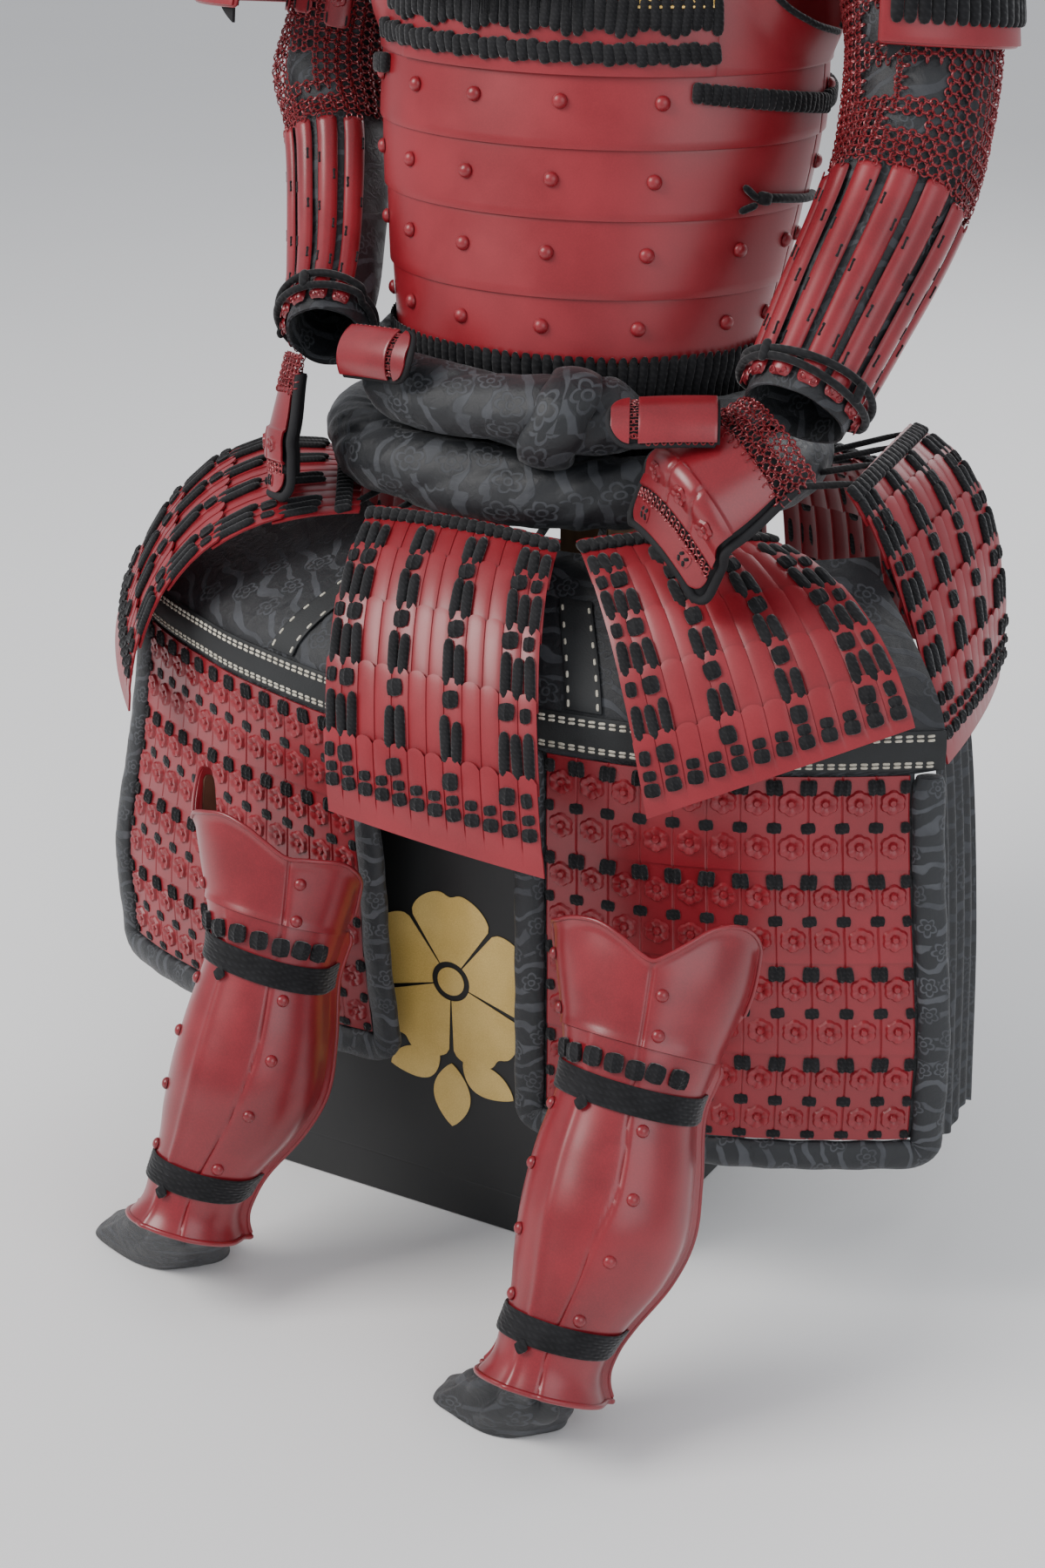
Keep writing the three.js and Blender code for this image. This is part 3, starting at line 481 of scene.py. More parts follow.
# small models, one unit across, kept while the pieces are made
def smallModels():
    models = {}
    deselectAll()
    bpy.ops.mesh.primitive_uv_sphere_add(segments=14, ring_count=8, radius=0.5)  # rivet head
    dome = added("rivetModel")
    bpy.ops.object.mode_set(mode="EDIT")
    bpy.ops.mesh.select_all(action="SELECT")
    bpy.ops.mesh.bisect(plane_co=(0, 0, -0.02), plane_no=(0, 0, 1), clear_inner=True, use_fill=True)
    bpy.ops.object.mode_set(mode="OBJECT")
    models["rivet"] = dome

    deselectAll()
    bpy.ops.mesh.primitive_cube_add(size=1)  # knot of flat lacing, square with full corners
    knot = added("knotModel")
    bpy.ops.object.mode_set(mode="EDIT")
    bpy.ops.mesh.select_all(action="SELECT")
    bpy.ops.mesh.subdivide(number_cuts=3)
    bpy.ops.object.mode_set(mode="OBJECT")
    for q in knot.data.vertices:
        x, y, z = q.co
        r = max(abs(x), abs(y))
        ball = math.hypot(x, y) / max(1e-6, r) if r else 1
        soft = 1 - 0.16 * (ball - 1) / 0.414 if r else 1
        q.co.x, q.co.y = x * soft, y * soft
        q.co.z = z * (1 - 0.62 * (2 * r) ** 3) + (0.1 * math.cos(x * 12.6) if z > 0.3 else 0)
    models["knot"] = knot

    deselectAll()
    bpy.ops.mesh.primitive_uv_sphere_add(segments=10, ring_count=8,
                                         radius=0.5)  # cord run, drawn in at its ends
    run = added("runModel")
    for q in run.data.vertices:
        q.co.y, q.co.z = q.co.z, q.co.y
        fat = (1 - (2 * abs(q.co.y)) ** 6) ** 0.5 if abs(q.co.y) < 0.5 else 0
        round0 = math.hypot(q.co.x, q.co.z)
        if round0 > 1e-4:
            q.co.x *= 0.5 * fat / round0
            q.co.z *= 0.5 * fat / round0
    run.data.flip_normals()
    models["run"] = run

    for name, inner, big, small in (("ring", 0.5, 10, 4), ("link", 0.5, 8, 4)):
        deselectAll()
        bpy.ops.mesh.primitive_torus_add(major_segments=big, minor_segments=small, major_radius=inner,
                                         minor_radius=0.13, generate_uvs=False)
        models[name] = added(name + "Model")
    return models


# shader groups shared by the finishes
def newGroup(name, inputs, outputs):
    group = bpy.data.node_groups.new(name, "ShaderNodeTree")
    for label, kind, value in inputs:
        socket = group.interface.new_socket(label, in_out="INPUT", socket_type="NodeSocket" + kind)
        if value is not None:
            socket.default_value = value
    for label, kind in outputs:
        group.interface.new_socket(label, in_out="OUTPUT", socket_type="NodeSocket" + kind)
    return group, Net(group)


# short way of adding nodes and links
class Net:
    def __init__(self, tree):
        self.tree = tree
        self.column = 0

    def add(self, kind, links=(), **values):
        node = self.tree.nodes.new(kind)
        node.location = (self.column * 180, -60 * (self.column % 5))
        self.column += 1
        inputs = values.pop("inputs", {})
        for key, value in values.items():
            setattr(node, key, value)
        for key, value in inputs.items():
            if hasattr(value, "is_output"):
                self.tree.links.new(value, node.inputs[key])
            else:
                node.inputs[key].default_value = value
        return node

    def math(self, operation, a, b=0.0, clamp=False):
        return self.add("ShaderNodeMath", operation=operation, use_clamp=clamp,
                        inputs={0: a, 1: b}).outputs[0]

    def ramp(self, value, low, high, toLow=0.0, toHigh=1.0):
        return self.add("ShaderNodeMapRange", interpolation_type="SMOOTHSTEP",
                        inputs={0: value, 1: low, 2: high, 3: toLow, 4: toHigh}).outputs[0]

    def mix(self, factor, a, b):
        node = self.add("ShaderNodeMix", data_type="RGBA")
        for index, value in ((0, factor), (6, a), (7, b)):
            if hasattr(value, "is_output"):
                self.tree.links.new(value, node.inputs[index])
            else:
                node.inputs[index].default_value = value
        return node.outputs[2]


def buildGroups():
    groups = {}
    # uneven film: a coarse and a fine cloud over object coordinates, in metres
    group, net = newGroup("unevenFilm", [("Vector", "Vector", None), ("Cloud size", "Float", 0.05),
                                         ("Grain size", "Float", 0.0012)],
                          [("Cloud", "Float"), ("Grain", "Float")])
    inside = net.add("NodeGroupInput").outputs
    cloud = net.add("ShaderNodeTexNoise", inputs={"Vector": inside[0], "Scale": net.math("DIVIDE", 1.0,
                                                                                         inside[1]),
                                                  "Detail": 4.0, "Roughness": 0.55})
    grain = net.add("ShaderNodeTexNoise", inputs={"Vector": inside[0], "Scale": net.math("DIVIDE", 1.0,
                                                                                         inside[2]),
                                                  "Detail": 2.0, "Roughness": 0.6})
    net.add("NodeGroupOutput", inputs={0: net.ramp(cloud.outputs[0], 0.3, 0.7), 1: grain.outputs[0]})
    groups["film"] = group

    # threads: warp and weft over the piece's own UV map
    group, net = newGroup("threadWeave", [("UV", "Vector", None), ("Thread", "Float", 0.0006),
                                          ("Slant", "Float", 0.0)], [("Threads", "Float"),
                                                                     ("Shade", "Float")])
    inside = net.add("NodeGroupInput").outputs
    parts = net.add("ShaderNodeSeparateXYZ", inputs={0: inside[0]}).outputs
    pace = net.math("DIVIDE", 6.2832, inside[1])
    u = net.math("MULTIPLY", net.math("ADD", parts[0], net.math("MULTIPLY", parts[1], inside[2])), pace)
    v = net.math("MULTIPLY", parts[1], pace)
    warp, weft = net.math("SINE", u), net.math("SINE", v)
    product = net.math("MULTIPLY", warp, weft)
    uneven = net.add("ShaderNodeTexNoise", inputs={"Vector": inside[0], "Scale": 400.0, "Detail": 2.0})
    net.add("NodeGroupOutput", inputs={0: net.ramp(product, -0.9, 0.9), 1: uneven.outputs[0]})
    groups["weave"] = group

    # blossom and leaf figures scattered over a cloth; the brocade finish paints their sheen as a paler colour
    # over the woven pattern
    group, net = newGroup("blossomFigure", [("UV", "Vector", None), ("Repeat", "Float", 0.034)],
                          [("Figure", "Float"), ("Edge", "Float")])
    inside = net.add("NodeGroupInput").outputs
    scale = net.math("DIVIDE", 1.0, inside[1])
    warped = net.add("ShaderNodeTexNoise", inputs={"Vector": inside[0], "Scale": net.math("MULTIPLY", scale,
                                                                                          1.6)})
    shifted = net.add("ShaderNodeVectorMath", operation="MULTIPLY_ADD",
                      inputs={0: warped.outputs[1], 1: (0.006, 0.006, 0), 2: inside[0]})
    cells = net.add("ShaderNodeTexVoronoi", voronoi_dimensions="2D",
                    inputs={"Vector": shifted.outputs[0], "Scale": scale, "Randomness": 0.75})
    scaled = net.add("ShaderNodeVectorMath", operation="SCALE",
                     inputs={0: shifted.outputs[0], "Scale": scale})
    middle = net.add("ShaderNodeVectorMath", operation="SCALE",
                     inputs={0: cells.outputs["Position"], "Scale": scale})
    local = net.add("ShaderNodeVectorMath", operation="SUBTRACT", inputs={0: scaled.outputs[0],
                                                                          1: middle.outputs[0]})
    parts = net.add("ShaderNodeSeparateXYZ", inputs={0: local.outputs[0]}).outputs
    angle = net.math("ARCTAN2", parts[1], parts[0])
    radius = net.add("ShaderNodeVectorMath", operation="LENGTH", inputs={0: local.outputs[0]}).outputs[1]
    petals = net.math("MULTIPLY", net.math("ABSOLUTE", net.math("SINE", net.math("MULTIPLY", angle, 2.5))),
                      0.11)
    rim = net.math("SUBTRACT", radius, net.math("ADD", petals, 0.16))
    petalLine = net.ramp(net.math("ABSOLUTE", rim), 0.022, 0.04, 1.0, 0.0)
    heart = net.ramp(net.math("ABSOLUTE", net.math("SUBTRACT", radius, 0.08)), 0.014, 0.028, 1.0, 0.0)
    vine = net.add("ShaderNodeTexWave", wave_type="RINGS", rings_direction="SPHERICAL",
                   inputs={"Vector": scaled.outputs[0], "Scale": 0.55, "Distortion": 7.0, "Detail": 1.0,
                           "Detail Scale": 1.4})
    outside = net.ramp(radius, 0.3, 0.36)
    stem = net.math("MULTIPLY", net.ramp(vine.outputs["Fac"], 0.72, 0.84), outside)
    figure = net.math("MAXIMUM", net.math("MAXIMUM", petalLine, heart), stem)
    net.add("NodeGroupOutput", inputs={0: figure, 1: net.ramp(figure, 0.2, 0.8)})
    groups["figure"] = group
    return groups


def newMaterial(name, **values):
    material = bpy.data.materials.new(name)
    material.use_nodes = True
    net = Net(material.node_tree)
    shader = material.node_tree.nodes["Principled BSDF"]
    for key, value in values.items():
        shader.inputs[key].default_value = value
    return material, net, shader


def link(net, output, socket):
    net.tree.links.new(output, socket)


def lacquerMaterial(name, groups, dark, light, rough, grainDepth=0.00006, coat=0.25, metal=0.0,
                    coatRough=0.3):
    material, net, shader = newMaterial(name, **{"Coat Weight": coat, "Coat Roughness": coatRough,
                                                 "Specular IOR Level": 0.5, "Metallic": metal})
    coords = net.add("ShaderNodeTexCoord").outputs["Object"]
    film = net.add("ShaderNodeGroup", node_tree=groups["film"],
                   inputs={"Vector": coords, "Cloud size": 0.07, "Grain size": 0.0011})
    speck = net.ramp(film.outputs["Grain"], 0.35, 0.7)
    tone = net.math("ADD", net.math("MULTIPLY", film.outputs["Cloud"], 0.65),
                    net.math("MULTIPLY", speck, 0.35))
    link(net, net.mix(tone, (*dark, 1), (*light, 1)), shader.inputs["Base Color"])
    link(net, net.ramp(film.outputs["Cloud"], 0, 1, rough - 0.04, rough + 0.05), shader.inputs["Roughness"])
    bump = net.add("ShaderNodeBump", inputs={"Strength": 0.35, "Distance": grainDepth,
                                             "Height": film.outputs["Grain"]})
    link(net, bump.outputs[0], shader.inputs["Normal"])
    return material


def cordMaterial(name, groups, base, pale, thread=0.0011, slant=0.8):
    material, net, shader = newMaterial(name, **{"Roughness": 0.82, "Sheen Weight": 0.25,
                                                 "Sheen Roughness": 0.4,
                                                 "Specular IOR Level": 0.25})
    coords = net.add("ShaderNodeTexCoord").outputs["Object"]
    weave = net.add("ShaderNodeTexWave", wave_type="BANDS", bands_direction="DIAGONAL",
                    inputs={"Vector": coords, "Scale": 0.16 / thread, "Distortion": 2.5, "Detail": 1.0})
    cross = net.add("ShaderNodeTexWave", wave_type="BANDS", bands_direction="Z",
                    inputs={"Vector": coords, "Scale": 0.11 / thread, "Distortion": 3.0, "Detail": 1.0})
    height = net.math("MULTIPLY", weave.outputs["Fac"], cross.outputs["Fac"])
    film = net.add("ShaderNodeGroup", node_tree=groups["film"],
                   inputs={"Vector": coords, "Cloud size": 0.02, "Grain size": 0.0006})
    tone = net.math("MULTIPLY", net.math("ADD", height, film.outputs["Cloud"]), 0.5)
    link(net, net.mix(tone, (*base, 1), (*pale, 1)), shader.inputs["Base Color"])
    bump = net.add("ShaderNodeBump", inputs={"Strength": 0.7, "Distance": 0.0005, "Height": height})
    link(net, bump.outputs[0], shader.inputs["Normal"])
    return material


# brocade: dark ground with woven figures; the figures' paler colour is painted sheen on a real pattern
def brocadeMaterial(name, groups, ground, figureSheenColour, repeat=0.034, crease=0.6):
    material, net, shader = newMaterial(name, **{"Sheen Weight": 0.12, "Sheen Roughness": 0.35,
                                                 "Specular IOR Level": 0.55})
    uv = net.add("ShaderNodeUVMap").outputs[0]
    coords = net.add("ShaderNodeTexCoord").outputs["Object"]
    figure = net.add("ShaderNodeGroup", node_tree=groups["figure"], inputs={"UV": uv, "Repeat": repeat})
    weave = net.add("ShaderNodeGroup", node_tree=groups["weave"], inputs={"UV": uv, "Thread": 0.0007,
                                                                          "Slant": 0.4})
    film = net.add("ShaderNodeGroup", node_tree=groups["film"],
                   inputs={"Vector": coords, "Cloud size": 0.03, "Grain size": 0.002})
    tone = net.math("MULTIPLY", figure.outputs["Figure"], net.ramp(film.outputs["Cloud"], 0, 1, 0.55, 1.0))
    # paler colour on the figures: painted sheen over the woven pattern
    link(net, net.mix(tone, (*ground, 1), (*figureSheenColour, 1)), shader.inputs["Base Color"])
    link(net, net.ramp(figure.outputs["Figure"], 0, 1, 0.46, 0.62), shader.inputs["Roughness"])
    wrinkle = net.add("ShaderNodeTexNoise", inputs={"Vector": coords, "Scale": 70.0, "Detail": 3.0,
                                                    "Distortion": 0.6})
    first = net.add("ShaderNodeBump", inputs={"Strength": crease, "Distance": 0.0022,
                                              "Height": wrinkle.outputs[0]})
    height = net.math("ADD", net.math("MULTIPLY", figure.outputs["Edge"], 0.8),
                      net.math("MULTIPLY", weave.outputs["Threads"], 0.25))
    second = net.add("ShaderNodeBump", inputs={"Strength": 0.6, "Distance": 0.0005, "Height": height,
                                               "Normal": first.outputs[0]})
    link(net, second.outputs[0], shader.inputs["Normal"])
    return material


def leatherMaterial(name, groups, base, pale, rough=0.6):
    material, net, shader = newMaterial(name, **{"Specular IOR Level": 0.4})
    coords = net.add("ShaderNodeTexCoord").outputs["Object"]
    pores = net.add("ShaderNodeTexVoronoi", inputs={"Vector": coords, "Scale": 700.0})
    film = net.add("ShaderNodeGroup", node_tree=groups["film"],
                   inputs={"Vector": coords, "Cloud size": 0.03, "Grain size": 0.001})
    link(net, net.mix(film.outputs["Cloud"], (*base, 1), (*pale, 1)), shader.inputs["Base Color"])
    link(net, net.ramp(film.outputs["Cloud"], 0, 1, rough - 0.05, rough + 0.08), shader.inputs["Roughness"])
    bump = net.add("ShaderNodeBump", inputs={"Strength": 0.4, "Distance": 0.0003, "Height": pores.outputs[0]})
    link(net, bump.outputs[0], shader.inputs["Normal"])
    return material


def woodMaterial(groups):
    material, net, shader = newMaterial("oiledTimber", **{"Roughness": 0.6})
    coords = net.add("ShaderNodeTexCoord").outputs["Object"]
    long = net.add("ShaderNodeMapping", inputs={"Vector": coords, "Scale": (60.0, 60.0, 3.0)})
    rings = net.add("ShaderNodeTexNoise", inputs={"Vector": long.outputs[0], "Scale": 1.0, "Detail": 5.0,
                                                  "Distortion": 1.2})
    tone = net.ramp(rings.outputs[0], 0.3, 0.7)
    link(net, net.mix(tone, (0.19, 0.11, 0.055, 1), (0.3, 0.19, 0.1, 1)), shader.inputs["Base Color"])
    bump = net.add("ShaderNodeBump", inputs={"Strength": 0.3, "Distance": 0.0006, "Height": tone})
    link(net, bump.outputs[0], shader.inputs["Normal"])
    return material


groups = buildGroups()
redLacquer = lacquerMaterial("redLacquer", groups, (0.21, 0.007, 0.013), (0.29, 0.014, 0.023), 0.4)
plateLacquer = lacquerMaterial("redPlateLacquer", groups, (0.16, 0.006, 0.011), (0.28, 0.012, 0.021), 0.34,
                               coat=0.4)
ringLacquer = lacquerMaterial("redRingLacquer", groups, (0.16, 0.012, 0.016), (0.28, 0.022, 0.03), 0.36,
                              coat=0.3,
                              metal=0.25)
chestLacquer = lacquerMaterial("blackChestLacquer", groups, (0.006, 0.0065, 0.007), (0.012, 0.0125, 0.013),
                               0.5,
                               coat=0.1)
blackCord = cordMaterial("blackCord", groups, (0.006, 0.006, 0.007), (0.02, 0.02, 0.022))
blackBraid = cordMaterial("blackBraid", groups, (0.005, 0.005, 0.006), (0.018, 0.018, 0.02), thread=0.0016)
blackBrocade = brocadeMaterial("blackBrocade", groups, (0.009, 0.0105, 0.013), (0.05, 0.054, 0.062))
quiltBrocade = brocadeMaterial("quiltBrocade", groups, (0.01, 0.012, 0.015), (0.07, 0.075, 0.085),
                               repeat=0.026)
blackLeather = leatherMaterial("blackLeather", groups, (0.011, 0.012, 0.013), (0.022, 0.024, 0.025))
brownLeather = leatherMaterial("brownLeather", groups, (0.07, 0.032, 0.018), (0.12, 0.06, 0.034))
blackLining = leatherMaterial("blackLining", groups, (0.007, 0.007, 0.008), (0.015, 0.015, 0.017), rough=0.8)
creamThread = cordMaterial("creamThread", groups, (0.45, 0.42, 0.34), (0.7, 0.66, 0.56))
goldLeaf = lacquerMaterial("goldLeaf", groups, (0.55, 0.36, 0.09), (0.78, 0.56, 0.2), 0.4, coat=0.0,
                           metal=0.0)
goldMetal = lacquerMaterial("goldMetal", groups, (0.7, 0.44, 0.11), (0.9, 0.62, 0.22), 0.28, coat=0.0,
                            metal=1.0)
blackHair = cordMaterial("blackHair", groups, (0.004, 0.004, 0.005), (0.014, 0.014, 0.016), thread=0.0005)
timber = woodMaterial(groups)
models = smallModels()
print("finishes ready")

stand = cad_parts["inner_stand"]  # stays as it is, with its own timber
stand.data.materials.clear()
stand.data.materials.append(timber)


# cuirass: riveted lames, chest panel, lacing
cuirass = {"wall": 2.4, "proud": 1.1, "tuck": -1.4, "columns": 110, "rivet": (11.5, 11.5, 9),
           "seams": [686, 732, 788, 838, 889], "panelHalf": 44, "panelRaise": 1.9,
           "rivetRows": {871: [-62, -38, -17, 6, 31], 816: [-64, -41, -19, 5, 31],
                         764: [-66, -43, -20, 5, 32, 61, 84], 711: [-67, -45, -21, 5, 33, 63, 85]}}


def rimFlare(u, near):
    return 8 * smooth(1 - near / 30) * smooth((abs(u) - 44) / 16)


def buildCuirass():
    p = cuirass
    for label, centre, topLine in (("breastplate", 0, frontTop), ("backplate", 180, backTop)):
        us = spread(-89.6, 89.6, p["columns"])
        lames = []
        for k in range(4):
            low, tall = p["seams"][k], p["seams"][k + 1] + 4 - p["seams"][k]

            def lameAt(u, v, low=low, tall=tall):
                return torsoAt(centre + u, low + tall * v, p["proud"] + (p["tuck"] - p["proud"]) * v)
            lames.append(layGrid(f"{label}Lame{k}", lameAt, us, spread(0, 1, 8)))

        def chestAt(u, v):
            low = p["seams"][4]
            crest = softRead(topLine, abs(u))
            z = low + (crest - low) * v
            return torsoAt(centre + u, z, 0.9 - 0.9 * v + rimFlare(u, crest - z))
        lames.append(layGrid(f"{label}Chest", chestAt, us, [1 - (1 - k / 22) ** 1.6 for k in range(23)]))
        if centre == 0:
            half = p["panelHalf"]

            def panelAt(u, v):
                point, across, up, out = stationOn(chestAt, u, v, 0.5, 0.01)
                return point + out * p["panelRaise"]
            lames.append(layGrid("chestPanel", panelAt, spread(-half, half, 56), spread(0, 0.995, 20)))
        for lame in lames:
            thicken(lame, p["wall"])
            roundEdges(lame, 0.5)
        plate = joinAll(label + "Plates", lames)
        shade(plate)
        complete(plate, redLacquer, "red_lacquer", label)

        rivets = []
        for z, angles in p["rivetRows"].items():
            for angle in angles if centre == 0 else spread(-84, 84, 7):
                rivets.append(spotOn(lambda u, v: torsoAt(u, v, 0.5), centre + angle, z, p["rivet"]))
        scatter(label + "Rivets", models["rivet"], rivets, redLacquer, "red_lacquer")

        edge = [chestAt(u, 1) for u in spread(-89, 89, 90)]  # bound edge of neck and armholes
        tube(label + "Binding", [q + vec(0, 0, 0.4) for q in edge], 2.6, blackCord, "black_cord")


# round tube through points in millimetres
def tube(name, points, radius, material, slotName, sides=8, closed=False, flat=1.0, nodes=()):
    line = Track(points, max(40, len(points) * 4)) if not closed else None
    count = max(12, len(points) * 3)
    spots = [line.at(k / count) for k in range(count + 1)] if line else list(points) + [points[0]]
    normal = vec(0, 0, 1)
    rings = []
    for k, spot in enumerate(spots):
        ahead = unit(spots[min(k + 1, len(spots) - 1)] - spots[max(k - 1, 0)])
        normal = unit(normal - ahead * float(normal @ ahead))
        rings.append((spot, normal, np.cross(ahead, normal)))

    def around(u, v):
        spot, n, b = rings[round(v)]
        a = math.radians(u)
        grow = 1.0
        if not closed and (round(v) in (0, len(rings) - 1)):
            grow = 0.05
        return spot + (n * math.cos(a) * flat + b * math.sin(a)) * radius * grow
    piece = layGrid(name, around, spread(0, 360, sides), list(range(len(rings))), ring=True)
    weld(piece, 0.00002, normals=True)
    shade(piece, 60)
    return complete(piece, material, slotName, *nodes)


# rows of short cords across the chest and at the side openings
def buildChestLacing():
    def onChest(u, v):
        return torsoAt(u, v, cuirass["panelRaise"] + 2.2)

    def onSide(u, v):
        return torsoAt(u, v, 2.6)
    chest = []
    for k in range(40):
        u = -57 + k * 2.56
        chest.append(spotOn(onChest if abs(u) < 44 else onSide, u, 905 + 1.2 * math.sin(k * 2.1),
                            (9.5, 16, 8),
                            spin=14 + 8 * math.sin(k * 1.7)))
        if u > -50:
            tall = 27 + 3 * math.sin(k * 1.3)
            chest.append(spotOn(onChest, u, 945 - tall / 2, (9, tall, 7), spin=4 * math.sin(k)))
            chest.append(spotOn(onChest, u, 951, (9.5, 14, 8), spin=16))
    scatter("chestLacing", models["run"], chest, blackCord, "black_cord")
    for label, start, end, z0, z1 in (("Right", 39.5, 90, 878, 860), ("Left", -56, -90, 880, 868),
                                      ("BackRight", 140, 91, 868, 862), ("BackLeft", 220, 269, 868, 862)):
        count = int(abs(end - start) / 2.35)
        row = []
        for k in range(count + 1):
            t = k / count
            row.append(spotOn(onSide, start + (end - start) * t, z0 + (z1 - z0) * t, (8.6, 15.5, 8),
                              spin=10 * math.sin(k * 1.9)))
        scatter("sideLacing" + label, models["run"], row, blackCord, "black_cord")


# shoulder straps: one lacquered strip from back to front, finished plainly
shoulderStrap = {"half": 24, "wall": 3.6}


def buildShoulderStraps():
    for label, sign in (("left", -1), ("right", 1)):
        line = Track([torsoAt(180 - sign * 27, 1119, 2), vec(sign * 84 - 8, 150, 1152),
                      vec(sign * 88 - 6, 84, 1166),
                      vec(sign * 86 - 2, 14, 1140), torsoAt(sign * 26, 1089, 2)])

        def strapAt(u, v):
            return line.at(v) + vec(u, 0, -abs(u) ** 1.3 * 0.06)
        half = shoulderStrap["half"]
        strap = layGrid("shoulderStrapPlate_" + label, strapAt, spread(-half, half, 12), spread(0, 1, 40),
                        flip=True)
        thicken(strap, shoulderStrap["wall"], 0)
        roundEdges(strap, 1.2)
        shade(strap)
        complete(strap, redLacquer, "red_lacquer", "shoulder_strap_" + label)


# waist: upright cords side by side, each rounded over at the top
waist = {"cords": 116, "perCord": 6, "bulge": 2.6, "over": 9, "bottom": 562}


def buildWaistLacing():
    p = waist

    def lacingAt(u, v):
        part = u * p["cords"] % 1.0
        dome = math.sqrt(max(0.0, 1 - (2 * part - 1) ** 2))
        top = 684 + p["over"] * dome + 1.5 * math.sin(u * 61)
        z = p["bottom"] + (top - p["bottom"]) * v
        lie = 0.6 + 3.6 * smooth((z - 660) / 22)
        slant = 0.5 * math.sin(u * 43) * (1 - v)
        return torsoAt(u * 360 + slant, min(z, 689 + 3 * dome),
                       lie + p["bulge"] * dome * (1 - 0.5 * max(0, v - 0.93) / 0.07))
    us = spread(0, 1, p["cords"] * p["perCord"])
    lacing = layGrid("waistCords", lacingAt, us, [0, 0.25, 0.5, 0.7, 0.82, 0.9, 0.95, 0.985, 1], ring=True)
    thicken(lacing, 1.6)
    shade(lacing, 60)
    complete(lacing, blackBraid, "black_cord", "waist_lacing")


# sash: two twisted rolls, a knot over them and a hanging end
sash = {"turns": 6, "lobe": 0.17, "upper": (655.5, 26.5, 26), "lower": (597, 29, 29), "knotAngle": 14}


def sashSection(name, angle):
    knot = math.exp(-(((angle - 14) / 15) ** 2))
    thin = smooth((angle - 26) / 12) * (1 - smooth((angle - 120) / 30))
    tuck = smooth((-angle - 38) / 14) * (1 - smooth((-angle - 110) / 40))
    if name == "upper":
        z, up, across = sash["upper"]
        wide = (across + 8 * knot) * (1 - 0.42 * thin - 0.52 * tuck)
        return z - 10 * thin, (up + knot) * (1 - 0.46 * thin), wide, wide + 2.4, 1 - 0.7 * thin
    z, up, across = sash["lower"]
    return z, up, across, across + 6, 1.0


def buildSash():
    for name in ("upper", "lower"):
        phase = 0.4 if name == "upper" else 1.9

        def rollAt(u, v):
            angle = u * 360 - 180
            z, up, wide, out, twist = sashSection(name, angle)
            centre = torsoAt(angle, z, out)
            direction = unit((centre - torsoAt(angle, z, 0)) * vec(1, 1, 0))
            t = v * 2 * math.pi
            bearing = math.radians(angle)
            turnBy = bearing * sash["turns"] / 2 + phase + 0.5 * math.sin(bearing * 3 + phase)
            lobe = abs(math.cos(t - turnBy)) ** 0.7
            grow = 1.03 - sash["lobe"] * twist * (1 - lobe)
            fold = 0.022 * math.sin(9 * (t - turnBy) + 3 * math.sin(math.radians(angle) * 9))
            fold += 0.018 * math.sin(math.radians(angle) * 37 + 2.5 * math.sin(t + phase))
            grow += fold * (0.6 + 0.4 * math.sin(math.radians(angle) * 5))
            return centre + direction * wide * grow * math.cos(t) + vec(0, 0, up * grow * math.sin(t))
        roll = layGrid(f"sashRoll_{name}", rollAt, spread(0, 1, 420), spread(0, 1, 56), ring=True)
        weld(roll, 0.00002, normals=True)
        shade(roll, 70)
        complete(roll, blackBrocade, "black_brocade", "sash_" + name)

    angle = sash["knotAngle"]
    z, up, wide, out, twist = sashSection("upper", angle)
    centre = torsoAt(angle, z - 2, out + 1)
    forward = unit((centre - torsoAt(angle, z - 2, 0)) * vec(1, 1, 0))
    beside = np.cross(vec(0, 0, 1), forward)

    def knotAt(u, v):
        a, t = u * 2 * math.pi, v * 2 * math.pi
        crease = 1 - 0.1 * abs(math.sin(t * 1.5 + 1.2 * math.sin(a))) + 0.05 * math.sin(a * 5 + t * 2)
        spot = forward * (wide - 2) * math.cos(a) + vec(0, 0, (up + 1) * math.sin(a))
        lean = beside * 10 * math.sin(a)
        return (centre + spot + lean + unit(spot) * 10 * math.cos(t) * crease
                + beside * (21 + 3 * math.cos(a)) * math.sin(t) * crease)
    knot = layGrid("sashKnot", knotAt, spread(0, 1, 72), spread(0, 1, 40), ring=True)
    weld(knot, 0.00002, normals=True)
    shade(knot, 70)
    complete(knot, blackBrocade, "black_brocade")

    tail = Track([[268, 40, 540], [300, 40, 480], [318, 40, 400], [334, 40, 240], [342, 40, 66]])

    def tailAt(u, v):
        pleat = 2.6 * math.sin(u * 0.42 + 2 * v) * (1 - 0.5 * v)
        return tail.at(v) + vec(-0.0008 * u * u + pleat, u, 6 * math.sin(u * 0.1) * v)
    strip = layGrid("sashTailCloth", tailAt, spread(-34, 30, 44), spread(0, 1, 60))
    thicken(strip, 1.6, 0)
    shade(strip, 60)
    complete(strip, blackBrocade, "black_brocade", "sash_tail")


# skirt flaps: five laced lames each
flap = {"scales": 12, "perScale": 8, "base": 1.6, "step": 3.4, "wall": 1.6, "scallop": 4.2, "overlap": 7,
        "edgeLeft": [0.034, 0.088, 0.142], "edgeRight": [0.858, 0.912, 0.966], "pairs": [0.355, 0.62],
        "cordWide": 8.2, "knot": (12, 13, 6.5), "smallKnot": (8, 11, 5.5)}


